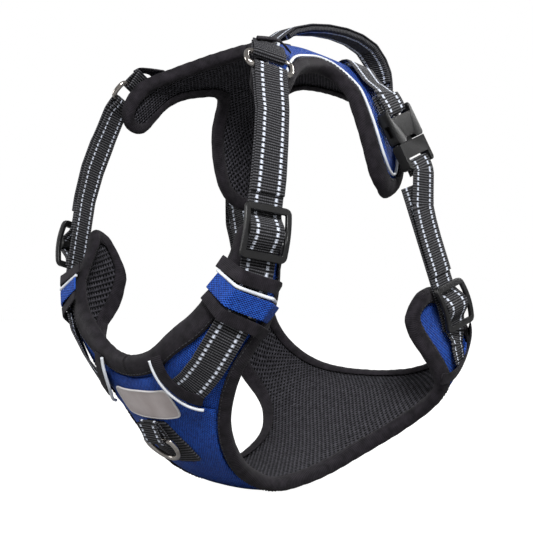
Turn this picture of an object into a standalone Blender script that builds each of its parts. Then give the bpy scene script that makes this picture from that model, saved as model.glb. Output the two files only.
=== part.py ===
"""No-pull dog harness with a padded chest panel, a padded back panel, two neck straps and two girth straps.

The harness stands as if worn: +Z is up, the dog faces -Y and its left side is +X. All lengths are in
millimetres until solid() turns them into metres. A position on the body is (station, degrees): stations
run from the front of the chest (0) to the end of the back panel, about 33 mm apart, and degrees run
around the body from the breastbone (0) over the dog's left side (90) to the spine (180).
"""
import math

import bmesh
import bpy
from mathutils import Matrix, Vector

MM = 0.001
FRAME_SHIFT = Vector((0.0, -128.75, 156.41))

# body form: bottom y, bottom z, top y, top z, half width, belly squareness, back squareness, top taper
BODY_STATIONS = (
    (-34, -42, 30, 188, 104, 2.2, 2.5, 0.00),
    (-6, -82, 58, 196, 114, 2.2, 2.4, 0.04),
    (19, -118, 85, 201, 120, 2.3, 2.3, 0.08),
    (53, -143, 115, 203, 124, 2.5, 2.2, 0.12),
    (90, -157, 145, 202, 126, 2.8, 2.1, 0.14),
    (130, -153, 175, 199, 128, 3.0, 2.1, 0.14),
    (170, -139, 205, 195, 130, 3.1, 2.1, 0.14),
    (206, -118, 235, 190, 131, 3.1, 2.1, 0.14),
    (240, -92, 262, 184, 128, 2.7, 2.1, 0.14),
    (262, -72, 285, 178, 120, 2.4, 2.1, 0.14),
    (285, -50, 305, 172, 112, 2.2, 2.1, 0.14),
)
BODY_CENTRE = Vector((0.0, 120.0, 20.0))
STATION_MM = 33.0
DEGREE_MM = 2.1

# half outlines as (station, degrees), from the middle of the front edge to the middle of the rear edge
CHEST_HALF = (
    (0.3, 0), (0.27, 12), (0.15, 27), (0.18, 40), (0.22, 54), (0.32, 68), (0.4, 78), (0.62, 83.5),
    (0.92, 85.5), (1.27, 83.5), (1.55, 76), (1.56, 67), (1.4, 58), (1.32, 48), (1.44, 39), (1.8, 30),
    (2.4, 23.5), (3.1, 19.5), (4.0, 18.5), (4.8, 20), (5.5, 22), (6.1, 25), (6.6, 31), (6.9, 39),
    (6.8, 50), (6.35, 60.5), (6.0, 68), (5.87, 73.2), (6.05, 77.4), (6.42, 79), (6.85, 76.8), (7.2, 72.3),
    (7.65, 66), (8.1, 57), (8.4, 45), (8.6, 30), (8.68, 15), (8.7, 0),
)
BACK_HALF = (
    (2.5, 180), (2.35, 170), (1.95, 160), (1.4, 152), (0.85, 146), (0.42, 139), (0.3, 131.5),
    (0.55, 126.6), (1.05, 125.8), (1.45, 129), (1.7, 134.5), (2.3, 141), (3.0, 144.5), (3.5, 145),
    (3.82, 140), (4.02, 132), (4.22, 126), (4.5, 119), (4.8, 114.5), (5.3, 112.3), (5.7, 114.7),
    (5.82, 121), (5.77, 132), (5.67, 144), (5.52, 154), (5.6, 160.5), (6.1, 165), (7.0, 168.5),
    (8.0, 170), (8.7, 173.5), (8.9, 180),
)
# mouths of the four strap pockets, as lines of (station, degrees) across the chest panel
NECK_MOUTH = ((-0.2, 15.0), (0.55, 15.8), (1.0, 19.5), (1.4, 26.0), (1.75, 33.0))
GIRTH_MOUTH = ((5.9, 57.0), (6.45, 53.0), (7.1, 52.5), (7.8, 55.0), (8.6, 61.0))

OUTLINE_STEP = 13.0
PANEL_CELL = 20.0
STRIP_STEP = 10.0

# layers of the padded panels, as heights over the panel's middle surface
LINING = (-3.6, -0.8)
SHELL = (0.0, 1.2)
OVERLAY = (2.2, 3.4)
BINDING_THICKNESS = 1.0
BINDING_WIDTH = 10.5
BINDING_GAP = 1.8
PIPING_RADIUS = 1.2

WEBBING_WIDTH = 25.0
WEBBING_THICKNESS = 1.4

FRONT_RING_AT = 1.68

# heights of the strap layers over the line that a strap follows
INNER_LAYER = (0.0, 1.4)
OUTER_LAYER = (3.6, 5.0)

# neck strap: on the panel below, straight through the slider, bowed up to the ring
NECK_LOWER = ((0.94, 22), (0.9, 28), (0.82, 36), (0.72, 46), (0.7, 56), (0.7, 63))
NECK_STRAIGHT_LOW = Vector((106.0, 4.4, 12.0))
NECK_STRAIGHT_HIGH = Vector((105.5, 15.0, 76.0))
NECK_OUTWARD = Vector((0.93, -0.36, -0.03))
NECK_UPPER = ((0.43, 106), (0.45, 116))
NECK_UPPER_LIFT = -4.0
NECK_SLIDER_AT = 25.0
STRAP_LIFT = 4.4
KEEPER_STATION = 0.74
KEEPER_SLANT = 3.5
KEEPER_HALF = 20.0
KEEPER_CLEAR = 4.0
RING_AT = (0.7, 138)
RING_UP_FROM = (0.6, 134)
RING_UP_TO = (0.95, 146)
RING_LIFT = 8.8
RING_DEPTH = 15.0
RING_HALF_WIDTH = 17.5
RING_ROD = 2.0

# girth strap: straight from the buckle through the slider, then round the wing into its pocket
GIRTH_TOP = Vector((101.0, 181.0, 86.0))
GIRTH_SLIDER = Vector((114.0, 213.0, -12.0))
GIRTH_OUTWARD = Vector((0.985, -0.1, 0.08))
GIRTH_LIFT = 6.7
GIRTH_LOWER = ((7.2, 60), (7.25, 55))

# buckle: the middle of the female half's mouth, the way the male half comes out, and outward
BUCKLE_MOUTH = Vector((95.2, 178.1, 118.6))
BUCKLE_WAY = Vector((0.25, 0.37, -0.895))
BUCKLE_OUTWARD = Vector((0.96, -0.1, 0.25))
BUCKLE_WIDTH = 34.0
BUCKLE_LOW = 2.0
BUCKLE_HIGH = 11.6
FEMALE_LENGTH = 28.0
MALE_LENGTH = 22.0

BACK_WEBBING_LINE = ((4.85, 143), (5.0, 150), (5.4, 158), (5.8, 166), (6.1, 173))
BACK_WEBBING_LIFT = 6.2

SLIDER_LENGTH = 38.0
SLIDER_WIDTH = 34.0
SLIDER_SLOT = 26.4
SLIDER_TRAVEL = 14.0
# webbing through a slider, as (along, outward): under it, up over the middle bar and down again
SLIDER_LOOP = ((33.5, 2.5), (24, 2.5), (14, 2.5), (11.5, 3.4), (6.5, 8.6), (3.5, 10.8), (0, 11.6),
               (-3.5, 10.8), (-6.5, 8.6), (-11.5, 3.4), (-14, 2.5), (-17.5, 2.5))

# handle: top line as (y, z), from its front root to its rear root; it swings about the line between them
HANDLE_LINE = ((121, 207.6), (126, 211.5), (134, 217.5), (143, 223.5), (163, 230), (186, 234), (210, 235.5),
               (232, 234), (252, 228.5), (265.5, 217.5), (273, 206), (274.7, 197), (275.2, 187.4))
HANDLE_CENTRE = Vector((0.0, 203.0, 195.0))

SHEET_BLUE = (0.035, 0.075, 0.42, 1.0)
MESH_GREY = (0.03, 0.03, 0.035, 1.0)
BINDING_CHARCOAL = (0.03, 0.026, 0.028, 1.0)
WEBBING_GREY = (0.045, 0.045, 0.05, 1.0)
REFLECTIVE_WHITE = (0.75, 0.8, 0.88, 1.0)
PLASTIC_BLACK = (0.03, 0.03, 0.032, 1.0)
RING_METAL = (0.72, 0.66, 0.6, 1.0)
LABEL_WHITE = (0.75, 0.71, 0.7, 1.0)


# ---------------------------------------------------------------- scene helpers

def clear_scene():
    """Start from an empty scene."""
    for item in list(bpy.data.objects):
        bpy.data.objects.remove(item)


def make_material(name, colour, roughness, metallic=0.0):
    """A plain viewport and shader colour."""
    material = bpy.data.materials.new(name)
    material.use_nodes = True
    shader = material.node_tree.nodes["Principled BSDF"]
    shader.inputs["Base Color"].default_value = colour
    shader.inputs["Roughness"].default_value = roughness
    shader.inputs["Metallic"].default_value = metallic
    return material


def solid(name, verts, faces, material, side=1, pivot=None, parent=None):
    """Make one object from millimetre points; side -1 mirrors it to the dog's right."""
    origin = Vector(pivot) if pivot else Vector((0.0, 0.0, 0.0))
    flip = Matrix.Diagonal((side, 1.0, 1.0))
    origin = flip @ origin
    bm = bmesh.new()
    made = [bm.verts.new((flip @ Vector(point) - origin) * MM) for point in verts]
    for face in faces:
        bm.faces.new([made[index] for index in face])
    bmesh.ops.recalc_face_normals(bm, faces=bm.faces)
    mesh = bpy.data.meshes.new(name)
    bm.to_mesh(mesh)
    bm.free()
    body = bpy.data.objects.new(name, mesh)
    bpy.context.scene.collection.objects.link(body)
    body.location = (origin + FRAME_SHIFT) * MM
    if not pivot:
        body.location = FRAME_SHIFT * MM
    body.data.materials.append(make_material(name, *material))
    if parent:
        body.parent = parent
        body.matrix_parent_inverse = Matrix.Translation(-parent.location)
    return body


# ---------------------------------------------------------------- body surface

def catmull(a, b, c, d, t):
    """Value between b and c on a smooth curve through all four."""
    return 0.5 * (2 * b + (c - a) * t + (2 * a - 5 * b + 4 * c - d) * t * t
                  + (3 * b - a - 3 * c + d) * t * t * t)


def station_row(index):
    """A station's numbers; rows past either end carry on in a straight line."""
    last = len(BODY_STATIONS) - 1
    if index < 0:
        return [a + (a - b) * -index for a, b in zip(BODY_STATIONS[0], BODY_STATIONS[1])]
    if index > last:
        steps = index - last
        return [a + (a - b) * steps for a, b in zip(BODY_STATIONS[last], BODY_STATIONS[last - 1])]
    return BODY_STATIONS[index]


def body_point(station, degrees):
    """Point of the body form, in millimetres."""
    index = min(max(math.floor(station), -1), len(BODY_STATIONS) - 1)
    t = station - index
    rows = [station_row(index + offset) for offset in (-1, 0, 1, 2)]
    low_y, low_z, top_y, top_z, half, low_square, top_square, taper = [
        catmull(*values, t) for values in zip(*rows)]
    angle = math.radians(degrees)
    height = -math.cos(angle)
    across = math.sin(angle)
    square = low_square if height < 0 else top_square
    scale = (abs(height) ** square + abs(across) ** square) ** (-1 / square)
    height *= scale
    across *= scale
    width = half * across * (1 - taper * max(0.0, height) ** 1.5)
    return Vector((
        width,
        (low_y + top_y) / 2 + (top_y - low_y) / 2 * height,
        (low_z + top_z) / 2 + (top_z - low_z) / 2 * height))


def body_normal(station, degrees):
    """Outward direction of the body form."""
    along = body_point(station + 0.02, degrees) - body_point(station - 0.02, degrees)
    around = body_point(station, degrees + 1) - body_point(station, degrees - 1)
    normal = around.cross(along).normalized()
    if normal.dot(body_point(station, degrees) - BODY_CENTRE) < 0:
        normal.negate()
    return normal


def clamp(value, low=0.0, high=1.0):
    """The value, kept between two limits."""
    return min(max(value, low), high)


def tip_lean(degrees):
    """How far the top of a chest arm falls in."""
    return -12 * clamp((degrees - 58) / 18)


def chest_lean(station, degrees):
    """How far the soft chest panel falls in from the body form: cupped arms and slack wings."""
    degrees = abs(degrees)
    keel = -4.5 * clamp((45 - degrees) / 30)
    if station < 3.0:
        front = max(0.0, (0.8 - station) / 0.8)
        rear = clamp((station - 0.8) / 0.8)
        cup = 27 * degrees / 72 * front ** 2 + 14 * min(1.0, degrees / 60) * rear ** 2
        return keel - cup * clamp(3.0 - station) + tip_lean(degrees)
    slack = clamp((degrees - 49) / 25)
    return keel - 26 * slack * slack * (3 - 2 * slack)


def back_lean(station, degrees):
    """How far the back panel's front arms and side flaps hang in from the body form."""
    degrees = min(degrees, 360 - degrees)
    arm = -3 * clamp(3.6 - station) - 14 * clamp((142 - degrees) / 18) * clamp(2.6 - station)
    flap = -28 * (max(0.0, 138 - max(degrees, 109)) / 25) ** 1.3 * clamp(station - 2.2)
    tuck = -8 * clamp((station - 4.9) / 0.6) * clamp((146 - degrees) / 15)
    return arm + flap + tuck


def on_chest(station, degrees, lift):
    """Point over the chest panel's middle surface."""
    return body_point(station, degrees) + body_normal(station, degrees) * (chest_lean(station, degrees) + lift)


def on_back(station, degrees, lift):
    """Point over the back panel's middle surface."""
    return body_point(station, degrees) + body_normal(station, degrees) * (back_lean(station, degrees) + lift)


# ---------------------------------------------------------------- curves and outlines

def smooth(points, per_span, closed=False):
    """Points of a smooth curve through the given ones."""
    count = len(points)
    result = []
    for index in range(count if closed else count - 1):
        if closed:
            quad = [Vector(points[(index + k) % count]) for k in (-1, 0, 1, 2)]
        else:
            quad = [Vector(points[min(max(index + k, 0), count - 1)]) for k in (-1, 0, 1, 2)]
        for step in range(per_span):
            result.append(catmull(*quad, step / per_span))
    if not closed:
        result.append(Vector(points[-1]))
    return result


def flat(points):
    """Station and degrees as flat millimetres."""
    return [Vector((station * STATION_MM, degrees * DEGREE_MM)) for station, degrees in points]


def respace(points, step, closed=False):
    """The same curve with evenly spaced points."""
    chain = list(points) + ([points[0]] if closed else [])
    lengths = [0.0]
    for a, b in zip(chain, chain[1:]):
        lengths.append(lengths[-1] + (b - a).length)
    count = max(2, round(lengths[-1] / step))
    result = []
    segment = 0
    for index in range(count if closed else count + 1):
        target = lengths[-1] * index / count
        while segment < len(chain) - 2 and lengths[segment + 1] < target:
            segment += 1
        span = lengths[segment + 1] - lengths[segment]
        result.append(chain[segment].lerp(chain[segment + 1], (target - lengths[segment]) / max(span, 1e-9)))
    return result


def panel_outline(half, middle):
    """Whole closed outline of a panel from its left half, mirrored about the degrees `middle`."""
    left = respace(smooth(flat(half), 6), OUTLINE_STEP)
    right = [Vector((p.x, 2 * middle * DEGREE_MM - p.y)) for p in left[-2:0:-1]]
    return left + right


def inset(outline, distance):
    """The outline moved to its own inside."""
    count = len(outline)
    area = sum(a.x * b.y - b.x * a.y for a, b in zip(outline, outline[1:] + outline[:1]))
    turn = 1 if area > 0 else -1
    result = []
    for index in range(count):
        tangent = (outline[(index + 1) % count] - outline[index - 1]).normalized()
        result.append(outline[index] + Vector((-tangent.y, tangent.x)) * distance * turn)
    return result


# ---------------------------------------------------------------- solids of cloth, webbing and cord

def sheet(outline, surface, layer, rim=0.0):
    """A cloth layer: the flat outline cut into cells, laid on the surface between two heights.

    A rim keeps the cells out of a strip along the edge, so that the strip runs straight between the
    outline's points, as the binding over it does.
    """
    bm = bmesh.new()
    edge = [bm.verts.new((p.x, p.y, 0.0)) for p in outline]
    inner = edge
    if rim:
        inner = [bm.verts.new((p.x, p.y, 0.0)) for p in inset(outline, rim)]
        for index in range(len(edge)):
            bm.faces.new([edge[index - 1], edge[index], inner[index], inner[index - 1]])
    middle = bm.faces.new(inner)
    bm.normal_update()
    cells = [middle]
    for axis in (0, 1):
        values = [p[axis] for p in outline]
        cut = math.ceil(min(values) / PANEL_CELL) * PANEL_CELL
        normal = Vector((1, 0, 0)) if axis == 0 else Vector((0, 1, 0))
        while cut < max(values):
            parts = set(cells)
            for face in cells:
                parts.update(face.edges)
                parts.update(face.verts)
            cells = cut_cells(bm, parts, normal * cut, normal)
            cut += PANEL_CELL
    bmesh.ops.remove_doubles(bm, verts=bm.verts, dist=0.6 if rim else 1.2)
    bmesh.ops.triangulate(bm, faces=bm.faces)
    return laid_on(bm, surface, layer)


def cut_cells(bm, parts, place, normal):
    """Cut the given faces along a plane and return all the cells that are left of them."""
    result = bmesh.ops.bisect_plane(bm, geom=list(parts), plane_co=place, plane_no=normal)
    return [item for item in result["geom"] if isinstance(item, bmesh.types.BMFace)]


def laid_on(bm, surface, layer):
    """Points and faces of the closed solid that a flat mesh makes between two heights."""
    bm.verts.index_update()
    verts = []
    for height in layer:
        for vert in bm.verts:
            verts.append(surface(vert.co.x / STATION_MM, vert.co.y / DEGREE_MM, height))
    count = len(bm.verts)
    faces = []
    for face in bm.faces:
        ring = [vert.index for vert in face.verts]
        faces.append([index + count for index in ring])
        faces.append(ring[::-1])
    for edge in bm.edges:
        if edge.is_boundary:
            loop = edge.link_loops[0]
            a = loop.vert.index
            b = loop.link_loop_next.vert.index
            faces.append([a, b, b + count, a + count])
    bm.free()
    return verts, faces


def swept(sections, closed=False):
    """Join equal rings of points into one closed skin."""
    size = len(sections[0])
    verts = [point for section in sections for point in section]
    faces = []
    count = len(sections)
    for index in range(count if closed else count - 1):
        a = index * size
        b = (index + 1) % count * size
        for k in range(size):
            n = (k + 1) % size
            faces.append([a + k, a + n, b + n, b + k])
    if not closed:
        faces.append(list(range(size))[::-1])
        faces.append([(count - 1) * size + k for k in range(size)])
    return verts, faces


def edge_binding(outline, surface):
    """Folded tape round the edge of a panel: over the shell, round the edge, under the lining."""
    top = SHELL[1] + BINDING_GAP
    bottom = LINING[0] - BINDING_GAP - 0.2
    out = 0.8
    profile = (
        (BINDING_WIDTH, top + BINDING_THICKNESS), (-out - BINDING_THICKNESS, top + 0.4),
        (-out - BINDING_THICKNESS, bottom - 0.4), (BINDING_WIDTH, bottom - BINDING_THICKNESS),
        (BINDING_WIDTH, bottom), (-out, bottom), (-out, top), (BINDING_WIDTH, top))
    rings = {inward: inset(outline, inward) for inward, height in profile}
    sections = []
    for index in range(len(outline)):
        sections.append([
            surface(rings[inward][index].x / STATION_MM, rings[inward][index].y / DEGREE_MM, height)
            for inward, height in profile])
    return swept(sections, closed=True)


def ribbon(frames, width, layer):
    """A flat strip along frames of (centre, outward, sideways)."""
    sections = []
    for centre, outward, sideways in frames:
        edge = sideways * width / 2
        low = centre + outward * layer[0]
        high = centre + outward * layer[1]
        sections.append([low - edge, low + edge, high + edge, high - edge])
    return swept(sections)


def finer(points, outwards):
    """The same path with more points, so that a strip that twists along it has nearly flat faces."""
    fine_points = []
    fine_outwards = []
    for index in range(len(points) - 1):
        start, end = points[index], points[index + 1]
        pieces = math.ceil((end - start).length / STRIP_STEP)
        for k in range(pieces):
            fine_points.append(start.lerp(end, k / pieces))
            fine_outwards.append(outwards[index].lerp(outwards[index + 1], k / pieces))
    return fine_points + [points[-1]], fine_outwards + [outwards[-1]]


def path_frames(points, outwards):
    """Frames along a path, square to it, from points and rough outward directions."""
    points, outwards = finer(points, outwards)
    frames = []
    for index, point in enumerate(points):
        ahead = points[min(index + 1, len(points) - 1)]
        behind = points[max(index - 1, 0)]
        tangent = (ahead - behind).normalized()
        outward = (outwards[index] - tangent * outwards[index].dot(tangent)).normalized()
        frames.append((point, outward, tangent.cross(outward)))
    return frames


def surface_frames(route, surface, lift):
    """Frames along a route of flat points laid on a panel."""
    points = [surface(p.x / STATION_MM, p.y / DEGREE_MM, lift) for p in route]
    outwards = [body_normal(p.x / STATION_MM, p.y / DEGREE_MM) for p in route]
    return path_frames(points, outwards)


def tube(points, radius, sides=8, closed=False, hint=Vector((0, 0, 1))):
    """A round rod along a path."""
    count = len(points)
    sections = []
    for index, point in enumerate(points):
        if closed:
            tangent = (points[(index + 1) % count] - points[index - 1]).normalized()
        else:
            tangent = (points[min(index + 1, count - 1)] - points[max(index - 1, 0)]).normalized()
        normal = (hint - tangent * hint.dot(tangent)).normalized()
        other = tangent.cross(normal)
        ring = []
        for k in range(sides):
            angle = 2 * math.pi * (k + 0.5) / sides
            ring.append(point + (normal * math.cos(angle) + other * math.sin(angle)) * radius)
        sections.append(ring)
    return swept(sections, closed)


# ---------------------------------------------------------------- local frames of hardware

class Place:
    """A local frame on a strap: t runs along the strap, h outward, w sideways."""

    def __init__(self, origin, along, outward):
        self.origin = Vector(origin)
        self.t = along.normalized()
        self.h = (outward - self.t * outward.dot(self.t)).normalized()
        self.w = self.t.cross(self.h)

    def point(self, t, h, w):
        return self.origin + self.t * t + self.h * h + self.w * w

    def moved(self, t, h=0.0, w=0.0):
        return Place(self.point(t, h, w), self.t, self.h)


def block(place, t_range, h_range, w_range):
    """A box in a local frame."""
    corners = [(t, w) for t, w in (
        (t_range[0], w_range[0]), (t_range[1], w_range[0]), (t_range[1], w_range[1]), (t_range[0], w_range[1]))]
    sections = [[place.point(t, h, w) for t, w in corners] for h in h_range]
    return swept(sections)


def plate(place, rows, columns, solid_cell, height, thickness):
    """A plate with windows: grid cells that solid_cell keeps, at height(t, w), given a thickness."""
    index = {}
    verts = []
    cells = []
    for r in range(len(rows) - 1):
        for c in range(len(columns) - 1):
            if solid_cell(r, c):
                cells.append(((r, c), (r + 1, c), (r + 1, c + 1), (r, c + 1)))
    for cell in cells:
        for corner in cell:
            if corner not in index:
                index[corner] = len(index)
    ordered = sorted(index, key=index.get)
    for offset in (0.0, thickness):
        for r, c in ordered:
            verts.append(place.point(rows[r], height(rows[r], columns[c]) + offset, columns[c]))
    count = len(index)
    faces = []
    edges = {}
    for cell in cells:
        ids = [index[corner] for corner in cell]
        faces.append([i + count for i in ids])
        faces.append(ids[::-1])
        for a, b in zip(ids, ids[1:] + ids[:1]):
            edges[(a, b)] = edges.get((a, b), 0) + 1
    for a, b in edges:
        if (b, a) not in edges:
            faces.append([a, b, b + count, a + count])
    return verts, faces


# ---------------------------------------------------------------- padded panels

def chest_panel():
    """Lining, shell, binding and overlay of the chest panel."""
    outline = panel_outline(CHEST_HALF, 0)
    edge = inset(outline, 1.0)
    rim = BINDING_WIDTH + 0.5
    solid("chest_lining", *sheet(edge, on_chest, LINING, rim), (MESH_GREY, 0.95))
    solid("chest_shell", *sheet(edge, on_chest, SHELL, rim), (SHEET_BLUE, 0.75))
    solid("chest_binding", *edge_binding(outline, on_chest), (BINDING_CHARCOAL, 0.85))
    solid("chest_overlay", *sheet(overlay_outline(outline), on_chest, OVERLAY), (SHEET_BLUE, 0.75))


def overlay_outline(outline):
    """The chest panel's outer layer: inside the binding, and short of the four strap mouths."""
    inner = inset(outline, BINDING_WIDTH + 1.5)
    half = inner[:len(inner) // 2 + 1]
    half = clip_past(half, respace(smooth(flat(NECK_MOUTH), 5), 8.0))
    half = clip_past(half, respace(smooth(flat(GIRTH_MOUTH), 5), 8.0))
    return half + [Vector((p.x, -p.y)) for p in half[::-1] if abs(p.y) > 0.01]


def crossing(a, b, line):
    """Where the step from a to b crosses a line of points: the share of the step and the line's index."""
    for index in range(len(line) - 1):
        c, d = line[index], line[index + 1]
        r = b - a
        s = d - c
        det = r.x * s.y - r.y * s.x
        if abs(det) < 1e-9:
            continue
        t = ((c.x - a.x) * s.y - (c.y - a.y) * s.x) / det
        u = ((c.x - a.x) * r.y - (c.y - a.y) * r.x) / det
        if 0 <= t < 1 and 0 <= u < 1:
            return t, index
    return None


def clip_past(half, line):
    """Replace the stretch of a half outline beyond a mouth line by the mouth line itself."""
    hits = []
    for index in range(len(half) - 1):
        found = crossing(half[index], half[index + 1], line)
        if found:
            hits.append((index, found[0], found[1]))
    first, last = hits[0], hits[-1]
    enter = half[first[0]].lerp(half[first[0] + 1], first[1])
    leave = half[last[0]].lerp(half[last[0] + 1], last[1])
    if first[2] < last[2]:
        middle = line[first[2] + 1:last[2] + 1]
    else:
        middle = line[last[2] + 1:first[2] + 1][::-1]
    return half[:first[0] + 1] + [enter] + middle + [leave] + half[last[0] + 1:]


def mouth_line(points, trim_low, trim_high):
    """The middle stretch of a mouth line, between the bindings."""
    line = respace(smooth(flat(points), 5), 4.0)
    return line[trim_low:len(line) - trim_high]


def mouth_parts(side):
    """Bands that close the four mouths over the strap ends, and the piping under the neck bands."""
    name = "left" if side > 0 else "right"
    neck = mouth_line(NECK_MOUTH, 4, 5)
    band = offset_line(neck, 6.8)
    solid("neck_mouth_band_" + name, *ribbon(bridge_frames(band, 7.2), 9.0, (0.0, 1.2)),
          (BINDING_CHARCOAL, 0.85), side)
    pipe = [on_chest(p.x / STATION_MM, p.y / DEGREE_MM, 8.2) for p in neck]
    solid("neck_mouth_piping_" + name, *tube(pipe, PIPING_RADIUS, 6), (REFLECTIVE_WHITE, 0.35), side)
    girth = mouth_line(GIRTH_MOUTH, 5, 5)
    band = offset_line(girth, 6.0)
    solid("girth_mouth_band_" + name, *ribbon(bridge_frames(band, 8.6), 10.0, (0.0, 1.2)),
          (BINDING_CHARCOAL, 0.85), side)


def offset_line(line, distance):
    """The line moved sideways by a distance."""
    result = []
    for index, point in enumerate(line):
        ahead = line[min(index + 1, len(line) - 1)]
        behind = line[max(index - 1, 0)]
        tangent = (ahead - behind).normalized()
        result.append(point + Vector((-tangent.y, tangent.x)) * distance)
    return result


def bridge_frames(line, lift):
    """Frames for a band that bridges a mouth, on every second point of its line."""
    return surface_frames(line[::2] + ([line[-1]] if len(line) % 2 == 0 else []), on_chest, lift)


def back_panel():
    """Lining, shell, binding and piping of the back panel."""
    outline = panel_outline(BACK_HALF, 180)
    edge = inset(outline, 1.0)
    rim = BINDING_WIDTH + 3.5
    solid("back_lining", *sheet(edge, on_back, LINING, rim), (MESH_GREY, 0.95))
    solid("back_shell", *sheet(edge, on_back, SHELL, rim), (SHEET_BLUE, 0.75))
    solid("back_binding", *edge_binding(outline, on_back), (BINDING_CHARCOAL, 0.85))
    line = inset(outline, BINDING_WIDTH + 1.9)
    points = [on_back(p.x / STATION_MM, p.y / DEGREE_MM, SHELL[1] + 1.1 + PIPING_RADIUS) for p in line]
    solid("back_piping", *tube(points, PIPING_RADIUS, 4, closed=True, hint=Vector((0.1, 0.2, 1))),
          (REFLECTIVE_WHITE, 0.35))


# ---------------------------------------------------------------- front ring and label

def chest_front():
    """Blank sewn label, webbing base, webbing tab and the front leash ring."""
    corners = [(0.8, -15), (0.77, 0), (0.8, 15), (1.33, 15), (1.3, 0), (1.33, -15)]
    solid("label_patch", *sheet(flat(corners), on_chest, (4.0, 4.9)), (LABEL_WHITE, 0.6))
    base = [(1.38, -5.5), (1.38, 5.5), (1.95, 9.5), (2.35, 10), (2.35, -10), (1.95, -9.5)]
    solid("front_ring_base", *sheet(flat(base), on_chest, (4.8, 6.0)), (WEBBING_GREY, 0.8))
    bar = on_chest(FRONT_RING_AT, 0, 10.2)
    down = on_chest(FRONT_RING_AT + 0.6, 0, 9.6) - bar
    place = Place(bar, down, body_normal(FRONT_RING_AT, 0))
    loop = [(-17, -3.6), (-9, -3.6), (-3, -3.4), (2.2, -2.6), (3.4, 0.0), (2.2, 2.6), (-3, 3.0), (-9, 1.0),
            (-17, -1.4)]
    solid("front_ring_tab", *folded_strip(place, loop, 21.0), (WEBBING_GREY, 0.8))
    ring = dee_ring(place, 14.5, 21.0)
    solid("front_leash_ring", *tube(ring, 2.0, 8, closed=True, hint=place.h), (RING_METAL, 0.25, 1.0),
          pivot=bar)


def dee_ring(place, half_bar, depth):
    """Centre line of a D ring: a straight bar through the place, and a bow along +t."""
    points = [place.point(0, 0, w) for w in (half_bar, 0, -half_bar)]
    for k in range(1, 12):
        angle = math.pi * k / 12
        points.append(place.point(2.5 + (depth - 2.5) * math.sin(angle), 0, -(half_bar + 1.5) * math.cos(angle)))
    return points


# ---------------------------------------------------------------- sliders and strap layers

def line_normals(line):
    """Unit normals, in the t-h plane, of a line of (t, h) points that turns round its inside."""
    result = []
    for index in range(len(line)):
        t0, h0 = line[max(index - 1, 0)]
        t1, h1 = line[min(index + 1, len(line) - 1)]
        result.append((h1 - h0, t0 - t1))
    return result


def folded_strip(place, line, width):
    """Webbing of one thickness whose middle follows (t, h) points in a local frame."""
    points = [place.point(t, h, 0) for t, h in line]
    outwards = [place.t * a + place.h * b for a, b in line_normals(line)]
    half = WEBBING_THICKNESS / 2
    return ribbon(path_frames(points, outwards), width, (-half, half))


def slider_frame(place):
    """An arched three-bar slider: two end bars over the strap and a middle bar under the loop."""
    half = SLIDER_LENGTH / 2
    rows = (-half, 5 - half, -8.0, -2.2, 2.2, 8.0, half - 5, half)
    columns = (-SLIDER_WIDTH / 2, -SLIDER_SLOT / 2, SLIDER_SLOT / 2, SLIDER_WIDTH / 2)

    def filled(row, column):
        return column != 1 or row in (0, 3, 6)

    def height(t, w):
        dip = 1.6 if abs(t) < 3 and abs(w) < 14 else 0.0
        return OUTER_LAYER[1] + 0.6 + 3.4 * (1 - (t / half) ** 2) - dip

    return plate(place, rows, columns, filled, height, 2.4)


def slider_set(prefix, name, place, side, frame_parent=None):
    """A slider and the loop of webbing that rides in it."""
    body = solid(prefix + "_slider_" + name, *slider_frame(place), (PLASTIC_BLACK, 0.4), side,
                 pivot=place.origin, parent=frame_parent)
    solid(prefix + "_slider_loop_" + name, *folded_strip(place, SLIDER_LOOP, WEBBING_WIDTH),
          (WEBBING_GREY, 0.8), side, pivot=place.origin, parent=body)


# ---------------------------------------------------------------- neck straps

def neck_place():
    """Frame of a neck strap's straight run."""
    return Place(NECK_STRAIGHT_LOW, NECK_STRAIGHT_HIGH - NECK_STRAIGHT_LOW, NECK_OUTWARD)


def ring_place():
    """Frame of a neck ring: the origin on the hinge line, t up the back panel's arm."""
    up = on_back(*RING_UP_TO, RING_LIFT) - on_back(*RING_UP_FROM, RING_LIFT)
    return Place(on_back(*RING_AT, RING_LIFT), up, body_normal(*RING_AT))


def neck_strap(side, name):
    """One webbing: from the chest mouth up the arm, round the ring, and down again to the slider."""
    straight = neck_place()
    run = (NECK_STRAIGHT_HIGH - NECK_STRAIGHT_LOW).length
    end = NECK_SLIDER_AT + 12 + SLIDER_TRAVEL + 1.5
    half = WEBBING_THICKNESS / 2
    line = []
    for spot in NECK_LOWER:
        line.append((on_chest(*spot, STRAP_LIFT), body_normal(*spot)))
    for t in (0.0, end, run):
        line.append((straight.point(t, 0, 0), straight.h))
    for spot in NECK_UPPER:
        line.append((body_point(*spot) + body_normal(*spot) * NECK_UPPER_LIFT, body_normal(*spot)))
    inner_middle = (INNER_LAYER[0] + INNER_LAYER[1]) / 2
    outer_middle = (OUTER_LAYER[0] + OUTER_LAYER[1]) / 2
    points = [point + outward * inner_middle for point, outward in line]
    outwards = [-outward for point, outward in line]
    ring = ring_place()
    bar = ring.moved(-RING_DEPTH)
    loop = ((-10, -2.2), (-4.5, -2.9), (0, -3.1), (2.3, -2.3), (3.2, 0.0), (2.3, 2.3), (0, 3.1),
            (-4.5, 2.9), (-10, 2.2))
    for (t, h), (a, b) in zip(loop, line_normals(loop)):
        points.append(bar.point(t, h, 0))
        outwards.append(bar.t * a + bar.h * b)
    for point, outward in line[:len(NECK_LOWER):-1]:
        points.append(point + outward * outer_middle)
        outwards.append(outward)
    solid("neck_strap_" + name, *ribbon(path_frames(points, outwards), WEBBING_WIDTH, (-half, half)),
          (WEBBING_GREY, 0.8), side)
    slider_set("neck", name, straight.moved(NECK_SLIDER_AT), side)


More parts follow.
